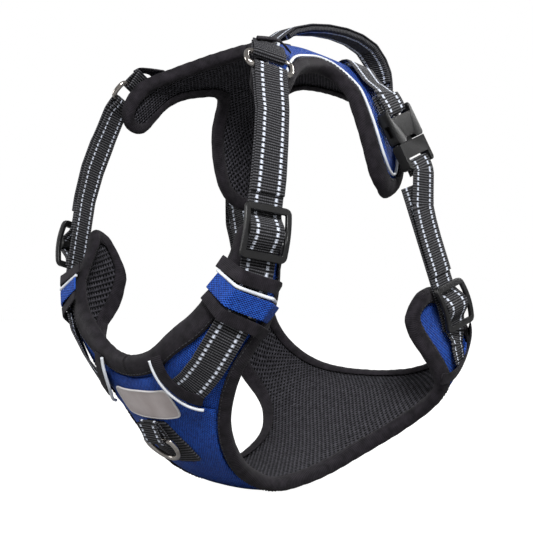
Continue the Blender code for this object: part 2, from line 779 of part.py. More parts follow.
def neck_ring(side, name):
    """Metal loop, the webbing that holds it and the band sewn over that webbing."""
    ring = ring_place()
    middle = -RING_DEPTH / 2
    corner = 5.0
    points = []
    for ct, cw, first in ((1, 1, 0), (-1, 1, 1), (-1, -1, 2), (1, -1, 3)):
        for k in range(4):
            angle = math.pi / 2 * (first + k / 3)
            t = middle + ct * (RING_DEPTH / 2 - corner) + corner * math.cos(angle)
            w = cw * (RING_HALF_WIDTH - corner) + corner * math.sin(angle)
            points.append(ring.point(t, 0, w))
    solid("neck_ring_" + name, *tube(points, RING_ROD, 8, closed=True, hint=ring.h),
          (RING_METAL, 0.25, 1.0), side, pivot=ring.origin)
    loop = ((15, -1.2), (7, -1.9), (0, -3.1), (-2.3, -2.3), (-3.2, 0.0), (-2.3, 2.3), (0, 3.1), (7, 2.4),
            (15, 0.8))
    solid("ring_retainer_" + name, *folded_strip(ring, [(t, h) for t, h in loop[::-1]], WEBBING_WIDTH),
          (WEBBING_GREY, 0.8), side)
    band = ((0.42, 143.5), (1.05, 143.8), (1.62, 141.0), (1.85, 145.0), (1.2, 148.3), (0.75, 148.0))
    solid("arm_cover_band_" + name, *sheet(flat(band), on_back, (11.8, 13.0)), (BINDING_CHARCOAL, 0.85), side)


def keeper_line(degrees, lift):
    """Points and outward directions across the arm and over the strap, slanting down to the front."""
    points = []
    outwards = []
    for share in (-1.0, -0.72, -0.35, 0.0, 0.35, 0.72, 1.0):
        spot = (KEEPER_STATION, degrees + KEEPER_SLANT * share)
        along = body_point(KEEPER_STATION + 0.1, spot[1]) - body_point(KEEPER_STATION - 0.1, spot[1])
        height = STRAP_LIFT + KEEPER_CLEAR + lift - tip_lean(spot[1])
        point = on_chest(*spot, height) + along.normalized() * KEEPER_HALF * share
        if abs(share) == 1.0:
            point = on_chest(KEEPER_STATION + 0.64 * share, spot[1], 6.0 + lift)
        points.append(point)
        outwards.append(body_normal(*spot))
    return points, outwards


def neck_keeper(side, name):
    """Loop sewn across the chest arm that holds the neck strap down, with its piping and edge bands."""
    strips = (
        ("keeper_lower_band_", 53.6, 7.2, BINDING_CHARCOAL),
        ("keeper_", 58.7, 11.0, SHEET_BLUE),
        ("keeper_upper_band_", 66.2, 6.0, BINDING_CHARCOAL))
    for prefix, degrees, width, colour in strips:
        points, outwards = keeper_line(degrees, 0.0)
        solid(prefix + name, *ribbon(path_frames(points, outwards), width, (0.0, 1.2)), (colour, 0.8), side)
    pipe = keeper_line(62.7, 0.6)[0]
    solid("keeper_piping_" + name, *tube(pipe, PIPING_RADIUS, 6), (REFLECTIVE_WHITE, 0.35), side)


# ---------------------------------------------------------------- girth straps and buckles

def girth_place():
    """Frame of a girth strap's straight run, from the buckle down."""
    return Place(GIRTH_TOP, GIRTH_SLIDER - GIRTH_TOP, GIRTH_OUTWARD)


def buckle_place():
    """Frame of a buckle: the origin in the socket's mouth, t the way the plug comes out."""
    return Place(BUCKLE_MOUTH, BUCKLE_WAY, BUCKLE_OUTWARD)


def cut_box(body, place, t_range, h_range, w_range, side):
    """Cut a box out of an object for good."""
    cutter = solid("cutter", *block(place, t_range, h_range, w_range), (PLASTIC_BLACK, 0.5), side)
    modifier = body.modifiers.new("cut", "BOOLEAN")
    modifier.operation = "DIFFERENCE"
    modifier.solver = "EXACT"
    modifier.object = cutter
    bpy.context.view_layer.objects.active = body
    bpy.ops.object.modifier_apply(modifier=modifier.name)
    bpy.data.objects.remove(cutter)


def buckle_female(side, name):
    """Socket half: a flat sleeve with side windows, and a bar at the top for the webbing."""
    place = buckle_place()
    half = BUCKLE_WIDTH / 2
    body = solid("buckle_female_" + name, *block(
        place, (-FEMALE_LENGTH, 0.0), (BUCKLE_LOW, BUCKLE_HIGH), (-half, half)), (PLASTIC_BLACK, 0.4), side)
    cut_box(body, place, (-19.0, 5.0), (3.8, 9.8), (2.2 - half, half - 2.2), side)
    cut_box(body, place, (-16.5, -7.0), (4.2, 9.4), (-half - 5, half + 5), side)
    cut_box(body, place, (-25.0, -21.2), (-5.0, 20.0), (3.6 - half, half - 3.6), side)
    cut_box(body, place, (-FEMALE_LENGTH - 5, -24.8), (8.6, 20.0), (3.6 - half, half - 3.6), side)
    cut_box(body, place, (-FEMALE_LENGTH - 5, -24.8), (-5.0, 4.9), (3.6 - half, half - 3.6), side)


def buckle_male(side, name):
    """Plug half: a grip block with a slot and bar for the webbing, and a centre tongue."""
    place = buckle_place()
    half = BUCKLE_WIDTH / 2
    body = solid("buckle_male_" + name, *block(
        place, (-17.0, MALE_LENGTH), (2.4, 11.0), (-half, half)), (PLASTIC_BLACK, 0.4), side,
        pivot=place.origin)
    for w_range in ((2.6, half + 5), (-half - 5, -2.6)):
        cut_box(body, place, (-20.0, 0.4), (-5.0, 20.0), w_range, side)
    for h_range in ((9.2, 20.0), (-5.0, 4.4)):
        cut_box(body, place, (-20.0, 0.4), h_range, (-half, half), side)
    cut_box(body, place, (13.2, 17.2), (-5.0, 20.0), (3.6 - half, half - 3.6), side)
    cut_box(body, place, (16.8, MALE_LENGTH + 5), (8.0, 20.0), (3.6 - half, half - 3.6), side)
    cut_box(body, place, (16.8, MALE_LENGTH + 5), (-5.0, 5.2), (3.6 - half, half - 3.6), side)
    for place_name, way in (("front", 1), ("rear", -1)):
        hinge = place.point(-0.6, 6.8, way * 11.6)
        w_range = (9.6, 13.8) if way > 0 else (-13.8, -9.6)
        solid("buckle_prong_" + place_name + "_" + name, *block(place, (-18.0, 0.0), (4.4, 9.2), w_range),
              (PLASTIC_BLACK, 0.4), side, pivot=hinge, parent=body)
    return body


def girth_strap(side, name):
    """Fixed webbing from the wing pocket up behind the buckle, and the webbing that the plug carries."""
    place = girth_place()
    run = (GIRTH_SLIDER - GIRTH_TOP).length
    half = WEBBING_THICKNESS / 2
    points = [place.point(t, h, 0) for t, h in ((2.0, half), (run, half), (run + 20, -0.9))]
    outwards = [place.h] * 3
    for spot in GIRTH_LOWER:
        points.append(on_chest(*spot, GIRTH_LIFT))
        outwards.append(body_normal(*spot))
    solid("girth_anchor_webbing_" + name,
          *ribbon(path_frames(points, outwards), WEBBING_WIDTH, (-half, half)), (WEBBING_GREY, 0.8), side)
    male = buckle_male(side, name)
    buckle = buckle_place()
    loop = ((27.0, 3.3), (20.0, 3.7), (16.2, 4.3), (15.2, 6.6), (16.2, 8.9), (20.0, 9.5), (26.0, 9.0))
    points = [buckle.point(t, h, 0) for t, h in loop]
    outwards = [buckle.t * -a + buckle.h * -b for a, b in line_normals(loop)]
    middle = (OUTER_LAYER[0] + OUTER_LAYER[1]) / 2
    end = run - 12 - SLIDER_TRAVEL - 1.5
    for t, extra in ((20.0, 2.2), (34.0, 0.6), (48.0, 0.0), (end, 0.0)):
        points.append(place.point(t, middle + extra, 0))
        outwards.append(place.h)
    webbing = solid("girth_strap_" + name, *ribbon(path_frames(points, outwards), WEBBING_WIDTH, (-half, half)),
                    (WEBBING_GREY, 0.8), side, pivot=buckle.origin, parent=male)
    slider_set("girth", name, Place(place.point(run, 0, 0), -place.t, place.h), side, webbing)


def back_webbing():
    """Webbing sewn across the back panel, with an end looped round each female half's bar."""
    buckle = buckle_place()
    half = WEBBING_THICKNESS / 2
    loop = ((-42.0, 3.0), (-33.0, 3.2), (-28.0, 3.4), (-24.2, 4.2), (-23.0, 6.8), (-24.2, 9.2), (-28.0, 9.9),
            (-33.0, 9.7), (-41.0, 8.6))
    points = [buckle.point(t, h, 0) for t, h in loop]
    outwards = [buckle.t * a + buckle.h * b for a, b in line_normals(loop)]
    for spot in BACK_WEBBING_LINE:
        points.append(body_point(*spot) + body_normal(*spot) * BACK_WEBBING_LIFT)
        outwards.append(body_normal(*spot))
    right = [Vector((-p.x, p.y, p.z)) for p in points[::-1]]
    right_out = [Vector((-p.x, p.y, p.z)) for p in outwards[::-1]]
    points = points + [body_point(6.25, 180) + body_normal(6.25, 180) * BACK_WEBBING_LIFT] + right
    outwards = outwards + [body_normal(6.25, 180)] + right_out
    solid("back_girth_webbing", *ribbon(path_frames(points, outwards), WEBBING_WIDTH, (-half, half)),
          (WEBBING_GREY, 0.8))


# ---------------------------------------------------------------- handle

def handle():
    """Carry handle: webbing over a padded core, and the patch sewn over its front end."""
    line = [Vector((0.0, y, z)) for y, z in HANDLE_LINE]
    outwards = [point - HANDLE_CENTRE for point in line]
    frames = path_frames(line, outwards)
    pivot = line[0]
    webbing = solid("handle_webbing", *ribbon(frames, WEBBING_WIDTH, (-WEBBING_THICKNESS, 0.0)),
                    (WEBBING_GREY, 0.8), pivot=pivot)
    core = [frame for frame in frames if frame[0].y > 134 and frame[0].z > 198]
    solid("handle_padding", *ribbon(core, WEBBING_WIDTH - 1.0, (-6.0, -WEBBING_THICKNESS - 0.4)),
          (BINDING_CHARCOAL, 0.85), pivot=pivot, parent=webbing)
    patch = ((2.95, 174.2), (2.95, 185.8), (3.75, 186.5), (3.75, 173.5))
    solid("handle_front_patch", *sheet(flat(patch), on_back, (2.4, 3.6)), (WEBBING_GREY, 0.8))


def build():
    """Make every piece."""
    clear_scene()
    chest_panel()
    back_panel()
    chest_front()
    for side, name in ((1, "left"), (-1, "right")):
        mouth_parts(side)
        neck_strap(side, name)
        neck_ring(side, name)
        neck_keeper(side, name)
        buckle_female(side, name)
        girth_strap(side, name)
    back_webbing()
    handle()


build()
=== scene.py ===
"""A padded dog harness with a front ring, built over its CAD frame and set in a plain white studio."""
import math

import bmesh
import bpy
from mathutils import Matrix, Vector, noise
from mathutils.kdtree import KDTree


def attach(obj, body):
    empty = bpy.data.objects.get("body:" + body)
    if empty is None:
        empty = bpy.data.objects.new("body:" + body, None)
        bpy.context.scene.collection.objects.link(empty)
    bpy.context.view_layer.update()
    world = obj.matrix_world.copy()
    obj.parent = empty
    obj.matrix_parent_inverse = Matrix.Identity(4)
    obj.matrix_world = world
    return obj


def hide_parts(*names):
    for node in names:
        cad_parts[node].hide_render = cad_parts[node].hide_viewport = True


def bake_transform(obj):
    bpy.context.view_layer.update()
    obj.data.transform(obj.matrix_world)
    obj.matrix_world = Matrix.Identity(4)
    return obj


# sizes are in millimetres, in a working frame that FRAME_SHIFT moves to the row frame
FRAME_SHIFT = Vector((0.0, -128.75, 156.41))

# body form: bottom y, bottom z, top y, top z, half width, belly squareness, back squareness, top taper
BODY_STATIONS = (
    (-34, -42, 30, 188, 104, 2.2, 2.5, 0.00),
    (-6, -82, 58, 196, 114, 2.2, 2.4, 0.04),
    (19, -118, 85, 201, 120, 2.3, 2.3, 0.08),
    (53, -143, 115, 203, 124, 2.5, 2.2, 0.12),
    (90, -157, 145, 202, 126, 2.8, 2.1, 0.14),
    (130, -153, 175, 199, 128, 3.0, 2.1, 0.14),
    (170, -139, 205, 195, 130, 3.1, 2.1, 0.14),
    (206, -118, 235, 190, 131, 3.1, 2.1, 0.14),
    (240, -92, 262, 184, 128, 2.7, 2.1, 0.14),
    (262, -72, 285, 178, 120, 2.4, 2.1, 0.14),
    (285, -50, 305, 172, 112, 2.2, 2.1, 0.14),
)
BODY_CENTRE = Vector((0.0, 120.0, 20.0))
STATION_MM = 33.0
DEGREE_MM = 2.1

# half outlines as (station, degrees), from the middle of the front edge to the middle of the rear edge
CHEST_HALF = (
    (0.3, 0), (0.27, 12), (0.15, 27), (0.18, 40), (0.22, 54), (0.32, 68), (0.4, 78), (0.62, 83.5),
    (0.92, 85.5), (1.27, 83.5), (1.55, 76), (1.56, 67), (1.4, 58), (1.32, 48), (1.44, 39), (1.8, 30),
    (2.4, 23.5), (3.1, 19.5), (4.0, 18.5), (4.8, 20), (5.5, 22), (6.1, 25), (6.6, 31), (6.9, 39),
    (6.8, 50), (6.35, 60.5), (6.0, 68), (5.87, 73.2), (6.05, 77.4), (6.42, 79), (6.85, 76.8), (7.2, 72.3),
    (7.65, 66), (8.1, 57), (8.4, 45), (8.6, 30), (8.68, 15), (8.7, 0),
)
BACK_HALF = (
    (2.5, 180), (2.35, 170), (1.95, 160), (1.4, 152), (0.85, 146), (0.42, 139), (0.3, 131.5),
    (0.55, 126.6), (1.05, 125.8), (1.45, 129), (1.7, 134.5), (2.3, 141), (3.0, 144.5), (3.5, 145),
    (3.82, 140), (4.02, 132), (4.22, 126), (4.5, 119), (4.8, 114.5), (5.3, 112.3), (5.7, 114.7),
    (5.82, 121), (5.77, 132), (5.67, 144), (5.52, 154), (5.6, 160.5), (6.1, 165), (7.0, 168.5),
    (8.0, 170), (8.7, 173.5), (8.9, 180),
)
# mouths of the four strap pockets, as lines of (station, degrees) across the chest panel
NECK_MOUTH = ((-0.2, 15.0), (0.55, 15.8), (1.0, 19.5), (1.4, 26.0), (1.75, 33.0))
GIRTH_MOUTH = ((5.9, 57.0), (6.45, 53.0), (7.1, 52.5), (7.8, 55.0), (8.6, 61.0))

OUTLINE_STEP = 13.0

# layers of the padded panels, as heights over the panel's middle surface
LINING = (-3.6, -0.8)
SHELL = (0.0, 1.2)
OVERLAY = (2.2, 3.4)
BINDING_WIDTH = 7.6
BINDING_GAP = 1.8
PIPING_RADIUS = 1.2

WEBBING_WIDTH = 25.0
WEBBING_THICKNESS = 1.4

# front ring: the station of its bar, half the bar's length, and the ring's depth and rod radius
FRONT_RING_AT = 1.68
FRONT_RING_HALF_BAR = 14.5
FRONT_RING_DEPTH = 21.0
FRONT_RING_ROD = 2.0

# heights of the strap layers over the line that a strap follows
INNER_LAYER = (0.0, 1.4)
OUTER_LAYER = (3.6, 5.0)
INNER_MIDDLE = sum(INNER_LAYER) / 2
OUTER_MIDDLE = sum(OUTER_LAYER) / 2
# thickness of the bands sewn over straps, under and over their line
BAND_LAYER = (-0.1, 1.3)

# neck strap: on the panel below, straight through the slider, bowed up to the ring
NECK_LOWER = ((0.94, 22), (0.9, 28), (0.82, 36), (0.72, 46), (0.7, 56), (0.7, 63))
NECK_STRAIGHT_LOW = Vector((106.0, 4.4, 12.0))
NECK_STRAIGHT_HIGH = Vector((105.5, 15.0, 76.0))
NECK_OUTWARD = Vector((0.93, -0.36, -0.03))
NECK_UPPER = ((0.43, 106), (0.45, 116))
NECK_UPPER_LIFT = -4.0
NECK_SLIDER_AT = 25.0
STRAP_LIFT = 4.4
KEEPER_STATION = 0.74
KEEPER_SLANT = 3.5
KEEPER_HALF = 20.0
KEEPER_CLEAR = 4.0
RING_AT = (0.7, 138)
RING_UP_FROM = (0.6, 134)
RING_UP_TO = (0.95, 146)
RING_LIFT = 8.8
RING_DEPTH = 15.0
RING_HALF_WIDTH = 17.5
RING_ROD = 2.0

# girth strap: straight from the buckle through the slider, then round the wing into its pocket
GIRTH_TOP = Vector((101.0, 181.0, 86.0))
GIRTH_SLIDER = Vector((114.0, 213.0, -12.0))
GIRTH_OUTWARD = Vector((0.985, -0.1, 0.08))
GIRTH_LIFT = 6.7
GIRTH_LOWER = ((7.2, 60), (7.25, 55))

# buckle: the middle of the female half's mouth, the way the male half comes out, and outward
BUCKLE_MOUTH = Vector((95.2, 178.1, 118.6))
BUCKLE_WAY = Vector((0.25, 0.37, -0.895))
BUCKLE_OUTWARD = Vector((0.96, -0.1, 0.25))
BUCKLE_WIDTH = 34.0
BUCKLE_LOW = 2.0
BUCKLE_HIGH = 11.6
FEMALE_LENGTH = 28.0
MALE_LENGTH = 22.0
BUCKLE_CORNER = 3.0
CUT_CORNER = 0.8
# an outward range that goes right through a buckle half, and the sideways range of its webbing slots
THROUGH = (-5.0, 20.0)
WEBBING_SLOT = (3.6 - BUCKLE_WIDTH / 2, BUCKLE_WIDTH / 2 - 3.6)

BACK_WEBBING_LINE = ((4.85, 143), (5.0, 150), (5.4, 158), (5.8, 166), (6.1, 173))
BACK_WEBBING_MIDDLE = 6.25
BACK_WEBBING_LIFT = 6.2

SLIDER_LENGTH = 38.0
SLIDER_WIDTH = 34.0
SLIDER_SLOT = 26.4
SLIDER_TRAVEL = 14.0
# straight strap from a slider's middle to where the strap may bend
SLIDER_CLEAR = 12.0 + SLIDER_TRAVEL + 1.5
# webbing through a slider, as (along, outward): under it, up over the middle bar and down again
SLIDER_LOOP = ((33.5, 2.5), (24, 2.5), (14, 2.5), (11.5, 3.4), (6.5, 8.6), (3.5, 10.8), (0, 11.6),
               (-3.5, 10.8), (-6.5, 8.6), (-11.5, 3.4), (-14, 2.5), (-17.5, 2.5))

# handle: top line as (y, z), from its front root to its rear root; it swings about the line between them
HANDLE_LINE = ((121, 207.6), (126, 211.5), (134, 217.5), (143, 223.5), (163, 230), (186, 234), (210, 235.5),
               (232, 234), (252, 228.5), (265.5, 217.5), (273, 206), (274.7, 197), (275.2, 187.4))
HANDLE_CENTRE = Vector((0.0, 203.0, 195.0))
# where the handle's sewn ends run down into the panel, and the points of its line that are padded
HANDLE_FRONT_END = (113.0, 205.5)
HANDLE_REAR_END = (275.8, 183.0)
HANDLE_PADDED = slice(3, -2)

# fineness of the cloth and webbing
CLOTH_CELL = 6.0
PATH_STEP = 1.0
RIB_STEP = 0.5
RIB_PITCH = 2.0
RIB_SHARE = 0.3
PATH_ROUNDING = 4
EDGE_SPAN = 4

# how far the padding swells out of the shell and into the lining, and over what distance from the edge
SHELL_SWELL = 1.2
LINING_SWELL = 3.0
SWELL_REACH = 13.0
WRINKLE = 0.7

STITCH_LENGTH = 2.3
STITCH_PITCH = 3.4
STITCH_RADIUS = 0.32
# a stitch's cross sections, as (share of its length, share of its radius)
STITCH_SHAPE = ((-0.5, 0.15), (-0.3, 0.85), (0.0, 1.0), (0.3, 0.85), (0.5, 0.15))
SEAM_STEP = 0.8

# the camera, in metres and degrees, in the row frame
CAMERA_AT = (0.5759, -0.58495, 0.14711)
CAMERA_TILT = 92.1
CAMERA_TURN = 45.0
CAMERA_ANGLE = 30.27


# ---------------------------------------------------------------- body surface

def catmull(a, b, c, d, t):
    """Value between b and c on a smooth curve through all four."""
    return 0.5 * (2 * b + (c - a) * t + (2 * a - 5 * b + 4 * c - d) * t * t
                  + (3 * b - a - 3 * c + d) * t * t * t)


def station_row(index):
    """A station's numbers; rows past either end carry on in a straight line."""
    last = len(BODY_STATIONS) - 1
    if index < 0:
        return [a + (a - b) * -index for a, b in zip(BODY_STATIONS[0], BODY_STATIONS[1])]
    if index > last:
        steps = index - last
        return [a + (a - b) * steps for a, b in zip(BODY_STATIONS[last], BODY_STATIONS[last - 1])]
    return BODY_STATIONS[index]


def body_point(station, degrees):
    """Point of the body form."""
    index = min(max(math.floor(station), -1), len(BODY_STATIONS) - 1)
    t = station - index
    rows = [station_row(index + offset) for offset in (-1, 0, 1, 2)]
    low_y, low_z, top_y, top_z, half, low_square, top_square, taper = [
        catmull(*values, t) for values in zip(*rows)]
    angle = math.radians(degrees)
    height = -math.cos(angle)
    across = math.sin(angle)
    square = low_square if height < 0 else top_square
    scale = (abs(height) ** square + abs(across) ** square) ** (-1 / square)
    height *= scale
    across *= scale
    width = half * across * (1 - taper * max(0.0, height) ** 1.5)
    return Vector((
        width,
        (low_y + top_y) / 2 + (top_y - low_y) / 2 * height,
        (low_z + top_z) / 2 + (top_z - low_z) / 2 * height))


def body_normal(station, degrees):
    """Outward direction of the body form."""
    along = body_point(station + 0.02, degrees) - body_point(station - 0.02, degrees)
    around = body_point(station, degrees + 1) - body_point(station, degrees - 1)
    normal = around.cross(along).normalized()
    if normal.dot(body_point(station, degrees) - BODY_CENTRE) < 0:
        normal.negate()
    return normal


def clamp(value, low=0.0, high=1.0):
    """The value, kept between two limits."""
    return min(max(value, low), high)


def tip_lean(degrees):
    """How far the top of a chest arm falls in."""
    return -12 * clamp((degrees - 58) / 18)


def chest_lean(station, degrees):
    """How far the soft chest panel falls in from the body form: cupped arms and slack wings."""
    degrees = abs(degrees)
    keel = -4.5 * clamp((45 - degrees) / 30)
    if station < 3.0:
        front = max(0.0, (0.8 - station) / 0.8)
        rear = clamp((station - 0.8) / 0.8)
        cup = 27 * degrees / 72 * front ** 2 + 14 * min(1.0, degrees / 60) * rear ** 2
        return keel - cup * clamp(3.0 - station) + tip_lean(degrees)
    slack = clamp((degrees - 49) / 25)
    return keel - 26 * slack * slack * (3 - 2 * slack)


def back_lean(station, degrees):
    """How far the back panel's front arms and side flaps hang in from the body form."""
    degrees = min(degrees, 360 - degrees)
    arm = -3 * clamp(3.6 - station) - 14 * clamp((142 - degrees) / 18) * clamp(2.6 - station)
    flap = -28 * (max(0.0, 138 - max(degrees, 109)) / 25) ** 1.3 * clamp(station - 2.2)
    tuck = -8 * clamp((station - 4.9) / 0.6) * clamp((146 - degrees) / 15)
    return arm + flap + tuck


def on_body(station, degrees, lift):
    """Point at a height over the body form."""
    return body_point(station, degrees) + body_normal(station, degrees) * lift


def on_chest(station, degrees, lift):
    """Point at a height over the chest panel's middle surface."""
    return on_body(station, degrees, chest_lean(station, degrees) + lift)


def on_back(station, degrees, lift):
    """Point at a height over the back panel's middle surface."""
    return on_body(station, degrees, back_lean(station, degrees) + lift)


# ---------------------------------------------------------------- curves and outlines

def smooth(points, per_span, closed=False):
    """Points of a smooth curve through the given ones."""
    count = len(points)
    result = []
    for index in range(count if closed else count - 1):
        if closed:
            quad = [Vector(points[(index + k) % count]) for k in (-1, 0, 1, 2)]
        else:
            quad = [Vector(points[min(max(index + k, 0), count - 1)]) for k in (-1, 0, 1, 2)]
        for step in range(per_span):
            result.append(catmull(*quad, step / per_span))
    if not closed:
        result.append(Vector(points[-1]))
    return result


def flat(points):
    """Station and degrees as flat millimetres."""
    return [Vector((station * STATION_MM, degrees * DEGREE_MM)) for station, degrees in points]


def unflat(point):
    """A flat point's station and degrees."""
    return point[0] / STATION_MM, point[1] / DEGREE_MM


def laid_line(surface, line, lift):
    """Points over a panel along a flat line, and their outward directions."""
    return [surface(*unflat(p), lift) for p in line], [body_normal(*unflat(p)) for p in line]


def mouth_curve(points, step):
    """A pocket mouth's line as evenly spaced flat points."""
    return respace(smooth(flat(points), 5), step)


def respace(points, step, closed=False):
    """The same curve with evenly spaced points."""
    chain = list(points) + ([points[0]] if closed else [])
    lengths = [0.0]
    for a, b in zip(chain, chain[1:]):
        lengths.append(lengths[-1] + (b - a).length)
    count = max(2, round(lengths[-1] / step))
    result = []
    segment = 0
    for index in range(count if closed else count + 1):
        target = lengths[-1] * index / count
        while segment < len(chain) - 2 and lengths[segment + 1] < target:
            segment += 1
        span = lengths[segment + 1] - lengths[segment]
        result.append(chain[segment].lerp(chain[segment + 1], (target - lengths[segment]) / max(span, 1e-9)))
    return result


def panel_outline(half, middle):
    """Whole closed outline of a panel from its left half, mirrored about the degrees `middle`."""
    left = respace(smooth(flat(half), 6), OUTLINE_STEP)
    right = [Vector((p.x, 2 * middle * DEGREE_MM - p.y)) for p in left[-2:0:-1]]
    return left + right


def neighbours(line, index, closed=False):
    """The points behind and ahead of a point of a line."""
    if closed:
        return line[index - 1], line[(index + 1) % len(line)]
    return line[max(index - 1, 0)], line[min(index + 1, len(line) - 1)]


def offset_line(line, distance, closed=False):
    """The line moved sideways by a distance."""
    result = []
    for index, point in enumerate(line):
        behind, ahead = neighbours(line, index, closed)
        tangent = (ahead - behind).normalized()
        result.append(point + Vector((-tangent.y, tangent.x)) * distance)
    return result


def inset(outline, distance):
    """The outline moved to its own inside."""
    area = sum(a.x * b.y - b.x * a.y for a, b in zip(outline, outline[1:] + outline[:1]))
    turn = 1 if area > 0 else -1
    return offset_line(outline, distance * turn, closed=True)


class Place:
    """A local frame on a strap: t runs along the strap, h outward, w sideways."""

    def __init__(self, origin, along, outward):
        self.origin = Vector(origin)
        self.t = along.normalized()
        self.h = (outward - self.t * outward.dot(self.t)).normalized()
        self.w = self.t.cross(self.h)

    def point(self, t, h, w):
        """A local point in the working frame."""
        return self.origin + self.t * t + self.h * h + self.w * w

    def moved(self, t, h=0.0, w=0.0):
        """The same frame at another origin."""
        return Place(self.point(t, h, w), self.t, self.h)


def overlay_outline(inner):
    """The chest panel's outer layer: inside the binding, and short of the four strap mouths."""
    half = inner[:len(inner) // 2 + 1]
    for mouth in (NECK_MOUTH, GIRTH_MOUTH):
        half = clip_past(half, mouth_curve(mouth, 8.0))
    return half + [Vector((p.x, -p.y)) for p in half[::-1] if abs(p.y) > 0.01]


def crossing(a, b, line):
    """Where the step from a to b crosses a line of points: the share of the step and the line's index."""
    for index in range(len(line) - 1):
        c, d = line[index], line[index + 1]
        r = b - a
        s = d - c
        det = r.x * s.y - r.y * s.x
        if abs(det) < 1e-9:
            continue
        t = ((c.x - a.x) * s.y - (c.y - a.y) * s.x) / det
        u = ((c.x - a.x) * r.y - (c.y - a.y) * r.x) / det
        if 0 <= t < 1 and 0 <= u < 1:
            return t, index
    return None


def clip_past(half, line):
    """Replace the stretch of a half outline beyond a mouth line by the mouth line itself."""
    hits = []
    for index in range(len(half) - 1):
        found = crossing(half[index], half[index + 1], line)
        if found:
            hits.append((index, found[0], found[1]))
    first, last = hits[0], hits[-1]
    enter = half[first[0]].lerp(half[first[0] + 1], first[1])
    leave = half[last[0]].lerp(half[last[0] + 1], last[1])
    if first[2] < last[2]:
        middle = line[first[2] + 1:last[2] + 1]
    else:
        middle = line[last[2] + 1:first[2] + 1][::-1]
    return half[:first[0] + 1] + [enter] + middle + [leave] + half[last[0] + 1:]


def mouth_line(points, trim_low, trim_high):
    """The middle stretch of a mouth line, between the bindings."""
    line = mouth_curve(points, 4.0)
    return line[trim_low:len(line) - trim_high]


def line_normals(line):
    """Unit normals, in the t-h plane, of a line of (t, h) points that turns round its inside."""
    result = []
    for index in range(len(line)):
        (t0, h0), (t1, h1) = neighbours(line, index)
        result.append((h1 - h0, t0 - t1))
    return result


# ---------------------------------------------------------------- skins

def inside_cells(outline, cell):
    """A flat outline cut into cells, as a mesh in flat millimetres."""
    bm = bmesh.new()
    middle = bm.faces.new([bm.verts.new((p.x, p.y, 0.0)) for p in outline])
    bm.normal_update()
    cells = [middle]
    for axis in (0, 1):
        values = [p[axis] for p in outline]
        cut = math.ceil(min(values) / cell) * cell
        normal = Vector((1, 0, 0)) if axis == 0 else Vector((0, 1, 0))
        while cut < max(values):
            parts = set(cells)
            for face in cells:
                parts.update(face.edges)
                parts.update(face.verts)
            found = bmesh.ops.bisect_plane(bm, geom=list(parts), plane_co=normal * cut, plane_no=normal)
            cells = [item for item in found["geom"] if isinstance(item, bmesh.types.BMFace)]
            cut += cell
    bmesh.ops.remove_doubles(bm, verts=bm.verts, dist=0.5)
    return bm


def laid_on(bm, heights):
    """Closed skin that a flat mesh makes between two surfaces, each a function of a flat point."""
    bm.verts.index_update()
    verts = []
    uvs = []
    for height in heights:
        for vert in bm.verts:
            verts.append(height(vert.co))
            uvs.append((vert.co.x, vert.co.y))
    count = len(bm.verts)
    faces = []
    for face in bm.faces:
        ring = [vert.index for vert in face.verts]
        faces.append([index + count for index in ring])
        faces.append(ring[::-1])
    for edge in bm.edges:
        if edge.is_boundary:
            loop = edge.link_loops[0]
            a = loop.vert.index
            b = loop.link_loop_next.vert.index
            faces.append([a, b, b + count, a + count])
    bm.free()
    return verts, faces, uvs


def swept(sections, closed=False):
    """Join equal rings of (point, uv) into one skin."""
    size = len(sections[0])
    verts = [point for section in sections for point, uv in section]
    uvs = [uv for section in sections for point, uv in section]
    faces = []
    count = len(sections)
    for index in range(count if closed else count - 1):
        a = index * size
        b = (index + 1) % count * size
        for k in range(size):
            n = (k + 1) % size
            faces.append([a + k, a + n, b + n, b + k])
    if not closed:
        faces.append(list(range(size))[::-1])
        faces.append([(count - 1) * size + k for k in range(size)])
    return verts, faces, uvs


def rounded_path(points, outwards, step=PATH_STEP, rounding=PATH_ROUNDING, closed=False):
    """The same path with even points, its corners rounded, and an outward direction at each point."""
    count = len(points)
    fine_points = []
    fine_outwards = []
    for index in range(count if closed else count - 1):
        start, end = points[index], points[(index + 1) % count]
        pieces = max(1, round((end - start).length / step))
        for k in range(pieces):
            fine_points.append(start.lerp(end, k / pieces))
            fine_outwards.append(outwards[index].lerp(outwards[(index + 1) % count], k / pieces))
    if not closed:
        fine_points.append(points[-1])
        fine_outwards.append(outwards[-1])
    for _ in range(rounding):
        fine_points = averaged(fine_points, closed)
        fine_outwards = averaged(fine_outwards, closed)
    return fine_points, fine_outwards


def averaged(values, closed):
    """Each value eased towards its two neighbours."""
    last = len(values) - 1
    result = []
    for index, value in enumerate(values):
        if not closed and index in (0, last):
            result.append(value)
        else:
            result.append((values[index - 1] + value * 2 + values[(index + 1) % (last + 1)]) / 4)
    return result


def frames_along(points, outwards, closed=False):
    """(distance, centre, outward, sideways) along a path."""
    frames = []
    distance = 0.0
    for index, point in enumerate(points):
        behind, ahead = neighbours(points, index, closed)
        tangent = (ahead - behind).normalized()
        outward = (outwards[index] - tangent * outwards[index].dot(tangent)).normalized()
        frames.append((distance, point, outward, tangent.cross(outward)))
        distance += (points[(index + 1) % len(points)] - point).length
    return frames


def band_section(width, low, high, roundness, fold=24):
    """(across, height) points of a rounded strip section."""
    points = []
    middle = (low + high) / 2
    half = (high - low) / 2
    for k in range(fold):
        angle = 2 * math.pi * (k + 0.5) / fold
        across = math.copysign(abs(math.cos(angle)) ** 0.45, math.cos(angle)) * width / 2
        rise = math.copysign(abs(math.sin(angle)) ** roundness, math.sin(angle)) * half
        points.append((across, middle, rise))
    return points


